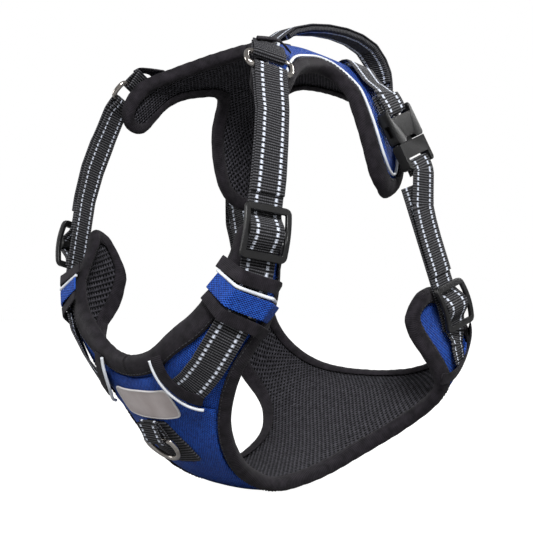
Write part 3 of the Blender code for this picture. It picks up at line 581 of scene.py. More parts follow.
def strip(points, outwards, width, layer, ribs=True, roundness=0.35):
    """Woven strip along a path, with a rounded edge and cross ribs."""
    path, aims = rounded_path(points, outwards)
    if ribs:
        path, aims = rounded_path(path, aims, RIB_STEP, 0)
    section = band_section(width, layer[0], layer[1], roundness)
    sections = []
    for distance, centre, outward, sideways in frames_along(path, aims):
        swell = 1.0
        if ribs:
            swell += RIB_SHARE * math.sin(2 * math.pi * distance / RIB_PITCH)
        sections.append([
            (centre + sideways * across + outward * (middle + rise * swell), (distance, across))
            for across, middle, rise in section])
    return swept(sections)


def rod(points, radius, closed=False, hint=Vector((0.1, 0.2, 1)), sides=14, step=PATH_STEP):
    """A round rod along a path."""
    path, aims = rounded_path(points, [hint] * len(points), step, PATH_ROUNDING, closed)
    sections = []
    for distance, centre, outward, sideways in frames_along(path, aims, closed):
        ring = []
        for k in range(sides):
            angle = 2 * math.pi * k / sides
            ring.append((centre + (outward * math.cos(angle) + sideways * math.sin(angle)) * radius,
                         (distance, radius * angle)))
        sections.append(ring)
    return swept(sections, closed)


def stitch_row(path, aims, closed=False):
    """Short rounded stitches along a path, as one skin."""
    verts, faces, uvs = [], [], []
    frames = frames_along(path, aims, closed)
    due = STITCH_PITCH / 2
    for distance, centre, outward, sideways in frames:
        if distance < due:
            continue
        due += STITCH_PITCH
        along = outward.cross(sideways)
        sections = []
        for share, thick in STITCH_SHAPE:
            ring = []
            for k in range(6):
                angle = 2 * math.pi * k / 6
                spread = (outward * math.cos(angle) + sideways * math.sin(angle)) * STITCH_RADIUS * thick
                ring.append((centre + along * STITCH_LENGTH * share + spread, (distance, angle)))
            sections.append(ring)
        more_verts, more_faces, more_uvs = swept(sections)
        faces += [[index + len(verts) for index in face] for face in more_faces]
        verts += more_verts
        uvs += more_uvs
    return verts, faces, uvs


# ---------------------------------------------------------------- pieces

def placed(name, data):
    """An object made from its data and linked to the scene."""
    made = bpy.data.objects.new(name, data)
    bpy.context.scene.collection.objects.link(made)
    return made


def piece(name, skin, material, body="harness", side=1):
    """A finished mesh that rides a body. Named as a CAD node, it stands for that node."""
    verts, faces, uvs = skin
    if side < 0:
        verts = [Vector((-p.x, p.y, p.z)) for p in verts]
        faces = [face[::-1] for face in faces]
    stands_for_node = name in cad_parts
    title = name + "_fine" if stands_for_node else name
    mesh = bpy.data.meshes.new(title)
    mesh.from_pydata([(p + FRAME_SHIFT) / 1000 for p in verts], [], faces)
    layer = mesh.uv_layers.new(name="cloth")
    for loop in mesh.loops:
        layer.data[loop.index].uv = uvs[loop.vertex_index]
    bm = bmesh.new()
    bm.from_mesh(mesh)
    bmesh.ops.recalc_face_normals(bm, faces=bm.faces)
    bm.to_mesh(mesh)
    bm.free()
    mesh.polygons.foreach_set("use_smooth", [True] * len(mesh.polygons))
    look, slot = MATERIALS[material]
    mesh.materials.append(look)
    made = placed(title, mesh)
    if body:
        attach(made, body)
    if stands_for_node:
        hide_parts(name)
    return made


def settle(thing):
    """Make a piece's modifiers part of its mesh."""
    bpy.context.view_layer.update()
    thing.data = bpy.data.meshes.new_from_object(thing.evaluated_get(bpy.context.evaluated_depsgraph_get()))
    thing.modifiers.clear()


def bevelled(thing, width, segments=3):
    """Round a hard piece's edges for good."""
    bevel = thing.modifiers.new("edges", "BEVEL")
    bevel.width = width / 1000
    bevel.segments = segments
    bevel.limit_method = "ANGLE"
    bevel.angle_limit = math.radians(40)
    bevel.harden_normals = False
    settle(thing)
    thing.data.polygons.foreach_set("use_smooth", [True] * len(thing.data.polygons))
    thing.data.set_sharp_from_angle(angle=math.radians(35))


# ---------------------------------------------------------------- padded panels

class Panel:
    """One padded panel: its edge, its surface, and how its filling swells away from the edge."""

    def __init__(self, half, middle, surface):
        self.surface = surface
        self.outline = panel_outline(half, middle)
        edge = smooth(self.outline, EDGE_SPAN, closed=True)
        self.tree = KDTree(len(edge))
        for index, point in enumerate(edge):
            self.tree.insert((point.x, point.y, 0.0), index)
        self.tree.balance()

    def ring(self, inward):
        """The panel's edge moved inward, as a smooth closed line."""
        return smooth(inset(self.outline, inward), EDGE_SPAN, closed=True)

    def swell(self, flat_point):
        """From 0 near the edge binding to 1 in the open field."""
        distance = self.tree.find((flat_point[0], flat_point[1], 0.0))[2]
        return 1 - math.exp(-max(0.0, distance - BINDING_WIDTH) / SWELL_REACH)

    def skin(self, outline, layer, rise=(0.0, 0.0), wrinkle=0.0, cell=CLOTH_CELL):
        """Cloth between two heights, each raised by its own swelling and by soft wrinkles."""
        def height(index):
            def place(co):
                share = self.swell(co)
                crease = noise.noise(Vector((co.x / 26, co.y / 17, 3.7))) * wrinkle * share
                return self.surface(*unflat(co),
                                    layer[index] + rise[index] * share + crease)
            return place
        return laid_on(inside_cells(outline, cell), (height(0), height(1)))


def binding_skin(panel):
    """Folded tape round the edge of a panel: over the shell, round the edge, under the lining."""
    top = SHELL[1] + BINDING_GAP
    bottom = LINING[0] - BINDING_GAP
    width = BINDING_WIDTH
    profile = (
        (width, top + 0.2), (width - 0.3, top + 0.8), (width - 2.0, top + 1.3), (width - 3.6, top + 1.5),
        (2.5, top + 1.3), (0.0, top + 0.6), (-1.3, top - 0.6), (-1.9, top - 2.4), (-2.1, -1.2),
        (-1.9, bottom + 2.4), (-1.3, bottom + 0.6), (0.0, bottom - 0.6), (2.5, bottom - 1.3),
        (width - 3.6, bottom - 1.5), (width - 2.0, bottom - 1.3), (width - 0.3, bottom - 0.8),
        (width, bottom - 0.2), (width - 3.6, bottom), (0.5, bottom + 1.2), (-0.6, -1.2), (0.5, top - 1.2),
        (width - 3.6, top - 0.2))
    rings = {inward: panel.ring(inward) for inward, height in profile}
    count = len(rings[width])
    sections = []
    for index in range(count):
        pucker = 0.18 * math.sin(index * 2.1) + 0.25 * noise.noise(Vector((index * 0.31, 5.0, 0.0)))
        section = []
        for k, (inward, height) in enumerate(profile):
            spot = rings[inward][index]
            lift = height + (pucker if height > 0 else -pucker)
            section.append((panel.surface(*unflat(spot), lift),
                            (index * OUTLINE_STEP / EDGE_SPAN, k * 2.0)))
        sections.append(section)
    return swept(sections, closed=True)


def seam(surface, line, lift):
    """A closed row of stitches along a flat line."""
    path, aims = rounded_path(*laid_line(surface, line, lift), SEAM_STEP, 2, closed=True)
    return stitch_row(path, aims, closed=True)


def panel_pieces(name, half, middle, surface):
    """Lining, shell and binding of one panel, with the row of stitches along the binding."""
    panel = Panel(half, middle, surface)
    edge = panel.ring(1.0)
    lining = piece(name + "_lining", panel.skin(edge, LINING, (-LINING_SWELL, -0.4), WRINKLE), "mesh")
    shell = piece(name + "_shell", panel.skin(edge, SHELL, (0.3, SHELL_SWELL), WRINKLE * 0.5), "oxford")
    piece(name + "_binding", binding_skin(panel), "tape")
    stitches = seam(surface, panel.ring(BINDING_WIDTH - 1.6), SHELL[1] + BINDING_GAP + 1.45)
    piece(name + "_binding_stitches", stitches, "thread")
    return panel


def chest_pieces():
    """The chest panel with its overlay, blank label and the patch under the front ring."""
    panel = panel_pieces("chest", CHEST_HALF, 0, on_chest)
    inner = panel.ring(BINDING_WIDTH + 1.5)
    outer = panel.skin(overlay_outline(inner), OVERLAY, (SHELL_SWELL, SHELL_SWELL), WRINKLE)
    piece("chest_overlay", outer, "oxford")
    label = [(0.8, -15), (0.77, 0), (0.8, 15), (1.33, 15), (1.3, 0), (1.33, -15)]
    patch = rounded_outline(flat(label), 2.0)
    piece("label_patch", panel.skin(patch, (4.0, 5.0), (0.6, 0.9), 0.0, 3.0), "label")
    rim, _ = laid_line(on_chest, patch, 5.3)
    piece("label_patch_edge", rod(rim, 0.8, True), "pale_thread")
    piece("label_patch_stitches", seam(on_chest, inset(patch, 2.6), 5.2), "pale_thread")
    base = [(1.38, -5.5), (1.38, 5.5), (1.95, 9.5), (2.35, 10), (2.35, -10), (1.95, -9.5)]
    base = rounded_outline(flat(base), 1.5)
    piece("front_ring_base", panel.skin(base, (4.6, 6.0), (0.0, 0.0), 0.0, 3.0), "plain_webbing")


def rounded_outline(corners, step):
    """A closed outline with its corners eased."""
    points = respace(corners, step, closed=True)
    for _ in range(3):
        points = averaged(points, True)
    return points


def back_pieces():
    """The back panel with its piping and the patch over the handle's front end."""
    panel = panel_pieces("back", BACK_HALF, 180, on_back)
    line, _ = laid_line(on_back, panel.ring(BINDING_WIDTH + 1.9), SHELL[1] + 1.3 + PIPING_RADIUS)
    piece("back_piping", rod(line, PIPING_RADIUS, closed=True, step=2.5), "reflective")
    patch = rounded_outline(flat([(2.95, 174.2), (2.95, 185.8), (3.75, 186.5), (3.75, 173.5)]), 2.0)
    piece("handle_front_patch", panel.skin(patch, (2.4, 3.7), (0.8, 1.0), 0.0, 3.0), "plain_webbing")


# ---------------------------------------------------------------- front ring

def front_ring():
    """The D ring on the chest and the folded webbing that holds it."""
    bar = on_chest(FRONT_RING_AT, 0, 10.2)
    down = on_chest(FRONT_RING_AT + 0.6, 0, 9.6) - bar
    place = Place(bar, down, body_normal(FRONT_RING_AT, 0))
    loop = [(-17, -3.6), (-9, -3.6), (-3, -3.4), (2.2, -2.6), (3.4, 0.0), (2.2, 2.6), (-3, 3.0), (-9, 1.0),
            (-17, -1.4)]
    piece("front_ring_tab", folded(place, loop, 21.0), "webbing")
    points = [place.point(0, 0, w) for w in (FRONT_RING_HALF_BAR, 0, -FRONT_RING_HALF_BAR)]
    bow_start = 2.5
    bow_half = FRONT_RING_HALF_BAR + 1.5
    for k in range(1, 12):
        angle = math.pi * k / 12
        reach = bow_start + (FRONT_RING_DEPTH - bow_start) * math.sin(angle)
        points.append(place.point(reach, 0, -bow_half * math.cos(angle)))
    piece("front_leash_ring", rod(points, FRONT_RING_ROD, True, place.h, 20), "metal", "front_ring")


def webbing_strip(points, aims, width=WEBBING_WIDTH):
    """Webbing of one thickness whose middle follows the points."""
    half = WEBBING_THICKNESS / 2
    return strip(points, aims, width, (-half, half))


def folded(place, line, width=WEBBING_WIDTH):
    """Webbing whose middle follows (t, h) points in a local frame."""
    points = [place.point(t, h, 0) for t, h in line]
    aims = [place.t * a + place.h * b for a, b in line_normals(line)]
    return webbing_strip(points, aims, width)


# ---------------------------------------------------------------- sliders

def both_ways(values):
    """The values with their negatives and zero, in rising order."""
    return [-value for value in values[::-1]] + [0.0, *values]


def slider_skin(place):
    """An arched three-bar slider with rounded corners."""
    half = SLIDER_LENGTH / 2
    wide = SLIDER_WIDTH / 2
    round_off = 4.0
    rows = both_ways((2.2, 5.0, 8.0, 11.0, half - 5, half - 3.9, half - 2.6, half - 1.3, half))
    columns = both_ways((8.0, SLIDER_SLOT / 2, wide - 2.6, wide - 1.3, wide))
    bars = ((-half, 5 - half), (-2.2, 2.2), (half - 5, half))

    def filled(r, c):
        t = (rows[r] + rows[r + 1]) / 2
        w = (columns[c] + columns[c + 1]) / 2
        return abs(w) > SLIDER_SLOT / 2 or any(low < t < high for low, high in bars)

    def spot(r, c, lift):
        t, w = rows[r], columns[c]
        dt = abs(t) - (half - round_off)
        dw = abs(w) - (wide - round_off)
        dip = 1.6 if abs(t) < 3 and abs(w) < 14 else 0.0
        height = OUTER_LAYER[1] + 0.6 + 3.4 * (1 - (t / half) ** 2) - dip + lift
        if dt > 0 and dw > 0:
            shrink = max(dt, dw) / math.hypot(dt, dw)
            t = math.copysign(half - round_off + dt * shrink, t)
            w = math.copysign(wide - round_off + dw * shrink, w)
        return place.point(t, height, w), (t, w)

    corners = {}
    cells = []
    for r in range(len(rows) - 1):
        for c in range(len(columns) - 1):
            if filled(r, c):
                cell = [(r, c), (r + 1, c), (r + 1, c + 1), (r, c + 1)]
                cells.append([corners.setdefault(corner, len(corners)) for corner in cell])
    made = [spot(r, c, lift) for lift in (-0.5, 3.0) for r, c in corners]
    faces = []
    edges = set()
    for cell in cells:
        faces.append([index + len(corners) for index in cell])
        faces.append(cell[::-1])
        edges.update(zip(cell, cell[1:] + cell[:1]))
    for a, b in edges:
        if (b, a) not in edges:
            faces.append([a, b, b + len(corners), a + len(corners)])
    return [point for point, uv in made], faces, [uv for point, uv in made]


def slider_pieces(prefix, name, place, side, body):
    """A slider and the webbing through it."""
    frame_piece = piece(f"{prefix}_slider_{name}", slider_skin(place), "plastic", body, side)
    bevelled(frame_piece, 0.55)
    piece(f"{prefix}_slider_loop_{name}", folded(place, SLIDER_LOOP), "webbing", body, side)


# ---------------------------------------------------------------- mouths and keepers

def mouth_pieces(side, name):
    """Bands that close the mouths over the strap ends, and the piping under the neck bands."""
    neck = mouth_line(NECK_MOUTH, 4, 5)
    piece("neck_mouth_band_" + name, bridge(offset_line(neck, 6.8), 7.2, 2.0, 9.5), "tape", "harness", side)
    pipe = [on_chest(*unflat(p), 8.2 - 2.0 * abs(end_share(k, neck)) ** 4)
            for k, p in enumerate(neck)]
    piece("neck_mouth_piping_" + name, rod(pipe, PIPING_RADIUS), "reflective", "harness", side)
    girth = mouth_line(GIRTH_MOUTH, 5, 5)
    band = bridge(offset_line(girth, 6.0), 8.6, 3.0, 10.0)
    piece("girth_mouth_band_" + name, band, "tape", "harness", side)


def end_share(index, line):
    """From -1 at a line's start to 1 at its end."""
    return 2 * index / (len(line) - 1) - 1


def bridge(line, lift, drop, width):
    """A band along a line of flat points, high over the strap and lower at its ends."""
    points = []
    aims = []
    for k, p in enumerate(line):
        height = lift - drop * abs(end_share(k, line)) ** 4
        points.append(on_chest(*unflat(p), height))
        aims.append(body_normal(*unflat(p)))
    return strip(points, aims, width, BAND_LAYER, ribs=False)


def keeper_line(degrees, lift):
    """Points and outward directions across the arm and over the strap, slanting down to the front."""
    points = []
    aims = []
    for share in (-1.0, -0.72, -0.35, 0.0, 0.35, 0.72, 1.0):
        spot = (KEEPER_STATION, degrees + KEEPER_SLANT * share)
        along = body_point(KEEPER_STATION + 0.1, spot[1]) - body_point(KEEPER_STATION - 0.1, spot[1])
        height = STRAP_LIFT + KEEPER_CLEAR + lift - tip_lean(spot[1])
        point = on_chest(*spot, height) + along.normalized() * KEEPER_HALF * share
        if abs(share) == 1.0:
            point = on_chest(KEEPER_STATION + 0.64 * share, spot[1], 6.0 + lift)
        points.append(point)
        aims.append(body_normal(*spot))
    return points, aims


def keeper_pieces(side, name):
    """Three strips and a piping that hold the neck strap down on the arm."""
    strips = (
        ("keeper_lower_band_", 53.6, 9.0, "tape"),
        ("keeper_", 59.1, 13.8, "oxford"),
        ("keeper_upper_band_", 65.8, 9.4, "tape"))
    for prefix, degrees, width, material in strips:
        points, aims = keeper_line(degrees, 0.0)
        piece(prefix + name, strip(points, aims, width, BAND_LAYER, ribs=False), material, "harness", side)
    points, aims = keeper_line(62.7, 0.6)
    piece("keeper_piping_" + name, rod(points, PIPING_RADIUS), "reflective", "harness", side)


# ---------------------------------------------------------------- neck straps and rings

def neck_place():
    """Frame of a neck strap's straight run."""
    return Place(NECK_STRAIGHT_LOW, NECK_STRAIGHT_HIGH - NECK_STRAIGHT_LOW, NECK_OUTWARD)


def ring_place():
    """Frame of a neck ring: the origin on the hinge line, t up the back panel's arm."""
    up = on_back(*RING_UP_TO, RING_LIFT) - on_back(*RING_UP_FROM, RING_LIFT)
    return Place(on_back(*RING_AT, RING_LIFT), up, body_normal(*RING_AT))


def neck_strap(side, name):
    """One webbing: from the chest mouth up the arm, round the ring, and down again to the slider."""
    straight = neck_place()
    run = (NECK_STRAIGHT_HIGH - NECK_STRAIGHT_LOW).length
    end = NECK_SLIDER_AT + SLIDER_CLEAR
    line = []
    for spot in NECK_LOWER:
        line.append((on_chest(*spot, STRAP_LIFT), body_normal(*spot)))
    for t in (0.0, end, run):
        line.append((straight.point(t, 0, 0), straight.h))
    for spot in NECK_UPPER:
        line.append((on_body(*spot, NECK_UPPER_LIFT), body_normal(*spot)))
    points = [point + outward * INNER_MIDDLE for point, outward in line]
    aims = [-outward for point, outward in line]
    bar = ring_place().moved(-RING_DEPTH)
    loop = ((-10, -2.2), (-4.5, -2.9), (0, -3.1), (2.3, -2.3), (3.2, 0.0), (2.3, 2.3), (0, 3.1),
            (-4.5, 2.9), (-10, 2.2))
    for (t, h), (a, b) in zip(loop, line_normals(loop)):
        points.append(bar.point(t, h, 0))
        aims.append(bar.t * a + bar.h * b)
    for point, outward in line[:len(NECK_LOWER):-1]:
        points.append(point + outward * OUTER_MIDDLE)
        aims.append(outward)
    piece("neck_strap_" + name, webbing_strip(points, aims), "webbing", "harness", side)
    slider_pieces("neck", name, straight.moved(NECK_SLIDER_AT), side, "neck_adjuster_" + name)


def neck_ring(side, name):
    """Metal loop, the webbing that holds it and the band sewn over that webbing."""
    ring = ring_place()
    middle = -RING_DEPTH / 2
    corner = 5.0
    points = []
    for ct, cw, first in ((1, 1, 0), (-1, 1, 1), (-1, -1, 2), (1, -1, 3)):
        for k in range(6):
            angle = math.pi / 2 * (first + k / 5)
            t = middle + ct * (RING_DEPTH / 2 - corner) + corner * math.cos(angle)
            w = cw * (RING_HALF_WIDTH - corner) + corner * math.sin(angle)
            points.append(ring.point(t, 0, w))
    piece("neck_ring_" + name, rod(points, RING_ROD, True, ring.h, 20), "metal", "neck_ring_" + name, side)
    loop = ((15, -1.2), (7, -1.9), (0, -3.1), (-2.3, -2.3), (-3.2, 0.0), (-2.3, 2.3), (0, 3.1), (7, 2.4),
            (15, 0.8))
    piece("ring_retainer_" + name, folded(ring, loop[::-1]), "plain_webbing", "harness", side)
    cover_band(side, name)


def cover_band(side, name):
    """Band that arches over the ring's webbing and comes down to the arm behind it."""
    corners = ((0.42, 143.5), (1.05, 143.8), (1.62, 141.0), (1.85, 145.0), (1.2, 148.3), (0.75, 148.0))

    def height(lift):
        def place(co):
            station, degrees = unflat(co)
            down = max(clamp((station - 1.15) / 0.6) ** 1.5, clamp((degrees - 145.4) / 3.0) ** 1.5)
            return on_back(station, degrees, lift - 6.5 * down)
        return place

    skin = laid_on(inside_cells(rounded_outline(flat(corners), 2.0), 3.0), (height(11.8), height(13.1)))
    piece("arm_cover_band_" + name, skin, "tape", "harness", side)


# ---------------------------------------------------------------- girth straps and buckles

def girth_place():
    """Frame of a girth strap's straight run, from the buckle down."""
    return Place(GIRTH_TOP, GIRTH_SLIDER - GIRTH_TOP, GIRTH_OUTWARD)


def buckle_place():
    """Frame of a buckle: the origin in the socket's mouth, t the way the plug comes out."""
    return Place(BUCKLE_MOUTH, BUCKLE_WAY, BUCKLE_OUTWARD)


def moulded_block(name, place, t_range, h_range, w_range, corner, side, body):
    """A block with rounded corners in plan, as a hard plastic piece."""
    outline = []
    for ct, cw, first in ((1, 1, 0), (0, 1, 1), (0, 0, 2), (1, 0, 3)):
        t_corner = t_range[ct] + (corner if ct == 0 else -corner)
        w_corner = w_range[cw] + (corner if cw == 0 else -corner)
        for k in range(7):
            angle = math.pi / 2 * (first + k / 6)
            outline.append((t_corner + corner * math.cos(angle), w_corner + corner * math.sin(angle)))
    sections = [[(place.point(t, h, w), (t, w)) for t, w in outline] for h in h_range]
    return piece(name, swept(sections), "plastic", body, side)


def cut_blocks(thing, place, cuts, side):
    """Cut blocks out of a hard piece for good, each (along, outward and sideways range, corner)."""
    for t_range, h_range, w_range, corner in cuts:
        cutter = moulded_block("cutter", place, t_range, h_range, w_range, corner, side, None)
        cut = thing.modifiers.new("cut", "BOOLEAN")
        cut.operation = "DIFFERENCE"
        cut.solver = "EXACT"
        cut.object = cutter
        settle(thing)
        bpy.data.objects.remove(cutter)


def buckle_female(side, name):
    """Socket half: a flat sleeve with side windows, and a bar at the top for the webbing."""
    place = buckle_place()
    half = BUCKLE_WIDTH / 2
    socket = moulded_block("buckle_female_" + name, place, (-FEMALE_LENGTH, 0.0), (BUCKLE_LOW, BUCKLE_HIGH),
                           (-half, half), BUCKLE_CORNER, side, "harness")
    top_end = (-FEMALE_LENGTH - 5, -24.8)
    cut_blocks(socket, place, (
        # the hollow for the plug, the side windows for its prongs, and a round notch in the mouth
        ((-19.0, 5.0), (3.8, 9.8), (2.2 - half, half - 2.2), CUT_CORNER),
        ((-16.5, -7.0), (4.2, 9.4), (-half - 5, half + 5), CUT_CORNER),
        ((-3.0, 6.0), THROUGH, (-7.0, 7.0), 2.9),
        # the slot for the webbing, and the bar thinned on both faces
        ((-25.0, -21.2), THROUGH, WEBBING_SLOT, CUT_CORNER),
        (top_end, (8.6, 20.0), WEBBING_SLOT, CUT_CORNER),
        (top_end, (-5.0, 4.9), WEBBING_SLOT, CUT_CORNER)), side)
    bevelled(socket, 0.45)


def buckle_male(side, name):
    """Plug half: a grip block with a slot and bar for the webbing, a centre tongue and two prongs."""
    place = buckle_place()
    half = BUCKLE_WIDTH / 2
    plug = moulded_block("buckle_male_" + name, place, (-17.0, MALE_LENGTH), (2.4, 11.0), (-half, half),
                         BUCKLE_CORNER, side, "plug_" + name)
    inside_socket = (-20.0, 0.4)
    grip_end = (16.8, MALE_LENGTH + 5)
    cut_blocks(plug, place, (
        # the centre tongue: cut free at both sides, then on both faces
        (inside_socket, THROUGH, (2.6, half + 5), CUT_CORNER),
        (inside_socket, THROUGH, (-half - 5, -2.6), CUT_CORNER),
        (inside_socket, (9.2, 20.0), (-half, half), 0.1),
        (inside_socket, (-5.0, 4.4), (-half, half), 0.1),
        # the slot for the webbing, and the bar thinned on both faces
        ((13.2, 17.2), THROUGH, WEBBING_SLOT, CUT_CORNER),
        (grip_end, (8.0, 20.0), WEBBING_SLOT, CUT_CORNER),
        (grip_end, (-5.0, 5.2), WEBBING_SLOT, CUT_CORNER)), side)
    bevelled(plug, 0.45)
    for end, w_range in (("front", (9.6, 13.8)), ("rear", (-13.8, -9.6))):
        prong = moulded_block(f"buckle_prong_{end}_{name}", place, (-18.0, 0.0), (4.4, 9.2), w_range, 1.6,
                              side, f"prong_{end}_{name}")
        bevelled(prong, 0.4)


def girth_strap(side, name):
    """Fixed webbing from the wing pocket up behind the buckle, and the webbing looped round the plug's bar
    down to the slider.
    """
    place = girth_place()
    run = (GIRTH_SLIDER - GIRTH_TOP).length
    half = WEBBING_THICKNESS / 2
    points = [place.point(t, h, 0) for t, h in ((2.0, half), (run, half), (run + 20, -0.9))]
    aims = [place.h] * 3
    for spot in GIRTH_LOWER:
        points.append(on_chest(*spot, GIRTH_LIFT))
        aims.append(body_normal(*spot))
    piece("girth_anchor_webbing_" + name, webbing_strip(points, aims), "webbing", "harness", side)
    buckle = buckle_place()
    loop = ((27.0, 3.3), (20.0, 3.7), (16.2, 4.3), (15.2, 6.6), (16.2, 8.9), (20.0, 9.5), (26.0, 9.0))
    points = [buckle.point(t, h, 0) for t, h in loop]
    aims = [buckle.t * -a + buckle.h * -b for a, b in line_normals(loop)]
    end = run - SLIDER_CLEAR
    for t, extra in ((20.0, 2.2), (34.0, 0.6), (48.0, 0.0), (end, 0.0)):
        points.append(place.point(t, OUTER_MIDDLE + extra, 0))
        aims.append(place.h)
    webbing = piece("girth_strap_" + name, webbing_strip(points, aims), "webbing", None, side)
    start, finish = [row_point(place.point(t, OUTER_MIDDLE, 0), side) for t in (6.0, end - 4.0)]
    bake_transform(webbing)
    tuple(start)
    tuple(finish)
    slider_pieces("girth", name, Place(place.point(run, 0, 0), -place.t, place.h), side,
                  "girth_adjuster_" + name)


def row_point(point, side):
    """A working point of one side in the row frame, in metres."""
    return (Vector((point.x * side, point.y, point.z)) + FRAME_SHIFT) / 1000


def back_webbing():
    """Webbing sewn across the back panel, with an end looped round each female half's bar."""
    buckle = buckle_place()
    loop = ((-42.0, 3.0), (-33.0, 3.2), (-28.0, 3.4), (-24.2, 4.2), (-23.0, 6.8), (-24.2, 9.2), (-28.0, 9.9),
            (-33.0, 9.7), (-41.0, 8.6))
    points = [buckle.point(t, h, 0) for t, h in loop]
    aims = [buckle.t * a + buckle.h * b for a, b in line_normals(loop)]
    for spot in BACK_WEBBING_LINE:
        points.append(on_body(*spot, BACK_WEBBING_LIFT))
        aims.append(body_normal(*spot))
    middle = (BACK_WEBBING_MIDDLE, 180)
    points = points + [on_body(*middle, BACK_WEBBING_LIFT)] + mirrored(points)
    aims = aims + [body_normal(*middle)] + mirrored(aims)
    piece("back_girth_webbing", webbing_strip(points, aims), "webbing")


def mirrored(vectors):
    """The other side's vectors, in the order that carries on from this side's."""
    return [Vector((-v.x, v.y, v.z)) for v in vectors[::-1]]


def handle():
    """Carry handle: webbing over a padded core."""
    line = (HANDLE_FRONT_END, *HANDLE_LINE, HANDLE_REAR_END)
    points = [Vector((0.0, y, z)) for y, z in line]
    aims = [point - HANDLE_CENTRE for point in points]
    outer = strip(points, aims, WEBBING_WIDTH, (-WEBBING_THICKNESS, 0.0))
    piece("handle_webbing", outer, "webbing", "handle")
    core = strip(points[HANDLE_PADDED], aims[HANDLE_PADDED], WEBBING_WIDTH - 1.0,
                 (-6.4, -WEBBING_THICKNESS - 0.2), roundness=0.6)
    piece("handle_padding", core, "webbing", "handle")


# ---------------------------------------------------------------- materials

def set_inputs(node, values):
    """Set a node's inputs by name."""
    for name, value in values.items():
        node.inputs[name].default_value = value


class Surface:
    """A material and short ways to add nodes to it."""

    def __init__(self, name, roughness, metallic=0.0, sheen=0.0, shine=0.12):
        self.material = bpy.data.materials.new(name)
        self.material.use_nodes = True
        self.tree = self.material.node_tree
        self.shader = self.tree.nodes["Principled BSDF"]
        set_inputs(self.shader, {"Roughness": roughness, "Metallic": metallic, "Sheen Weight": sheen,
                                 "Specular IOR Level": shine})
        split = self.tree.nodes.new("ShaderNodeSeparateXYZ")
        uv = self.tree.nodes.new("ShaderNodeUVMap")
        uv.uv_map = "cloth"
        self.tree.links.new(uv.outputs["UV"], split.inputs[0])
        self.along = split.outputs["X"]
        self.across = split.outputs["Y"]

    def math(self, operation, first, second=None):
        """The result of a sum on numbers or sockets."""
        node = self.tree.nodes.new("ShaderNodeMath")
        node.operation = operation
        for socket, value in zip(node.inputs, (first, second)):
            if isinstance(value, (int, float)):
                socket.default_value = value
            elif value is not None:
                self.tree.links.new(value, socket)
        return node.outputs[0]

    def wave(self, coordinate, pitch):
        """Goes between -1 and 1 once every pitch."""
        return self.math("SINE", self.math("MULTIPLY", coordinate, 2 * math.pi / pitch))

    def cloud(self, scale, low, high):
        """Slow variation between two values."""
        place = self.tree.nodes.new("ShaderNodeTexCoord")
        cloud = self.tree.nodes.new("ShaderNodeTexNoise")
        set_inputs(cloud, {"Scale": scale, "Detail": 3.0})
        self.tree.links.new(place.outputs["Object"], cloud.inputs["Vector"])
        spread = self.tree.nodes.new("ShaderNodeMapRange")
        set_inputs(spread, {"From Min": 0.3, "From Max": 0.7, "To Min": low, "To Max": high})
        self.tree.links.new(cloud.outputs["Fac"], spread.inputs["Value"])
        return spread.outputs["Result"]

    def mix(self, factor, first, second):
        """Colour between two, each a colour or a socket."""
        node = self.tree.nodes.new("ShaderNodeMix")
        node.data_type = "RGBA"
        if isinstance(factor, (int, float)):
            node.inputs[0].default_value = factor
        else:
            self.tree.links.new(factor, node.inputs[0])
        for socket, value in ((node.inputs[6], first), (node.inputs[7], second)):
            if isinstance(value, tuple):
                socket.default_value = (*value, 1.0)
            else:
                self.tree.links.new(value, socket)
        return node.outputs[2]

    def colour(self, value):
        """Take the base colour from a socket."""
        self.tree.links.new(value, self.shader.inputs["Base Color"])

    def relief(self, height, depth):
        """Bump of a depth in millimetres."""
        bump = self.tree.nodes.new("ShaderNodeBump")
        set_inputs(bump, {"Distance": depth / 1000, "Strength": 1.0})
        self.tree.links.new(height, bump.inputs["Height"])
        self.tree.links.new(bump.outputs["Normal"], self.shader.inputs["Normal"])


def oxford_cloth():
    """Blue woven shell cloth."""
    look = Surface("oxford", 0.55, sheen=0.04)
    weave = look.math("MULTIPLY", look.wave(look.along, 2.2), look.wave(look.across, 1.8))
    share = look.math("ADD", look.math("MULTIPLY", weave, 0.7), look.cloud(420.0, 0.15, 0.85))
    cloth = look.mix(share, (0.006, 0.022, 0.15), (0.022, 0.12, 0.6))
    look.colour(look.mix(look.cloud(45.0, 0.0, 0.25), cloth, (0.008, 0.03, 0.24)))
    look.relief(weave, 0.5)
    return look.material


def mesh_cloth():
    """Dark knitted mesh with its openings drawn in painted shade, near black."""
    look = Surface("mesh", 0.9, sheen=0.02)
    holes = look.math("MULTIPLY", look.wave(look.along, 4.4), look.wave(look.across, 4.0))
    # painted shade: the openings are coloured near black for the shade inside them
    painted_opening_shade = look.math("GREATER_THAN", holes, 0.25)
    knit = look.mix(look.cloud(300.0, 0.0, 1.0), (0.026, 0.025, 0.031), (0.08, 0.077, 0.092))
    look.colour(look.mix(painted_opening_shade, knit, (0.001, 0.001, 0.0015)))
    look.relief(look.math("MULTIPLY", holes, -1.0), 1.4)
    return look.material


def edge_tape():
    """Black ribbed tape."""
    look = Surface("tape", 0.75, sheen=0.04)
    ribs = look.wave(look.along, 1.3)
    tape = look.mix(look.cloud(160.0, 0.0, 1.0), (0.008, 0.007, 0.009), (0.021, 0.018, 0.023))
    look.colour(tape)
    look.relief(ribs, 0.12)
    return look.material


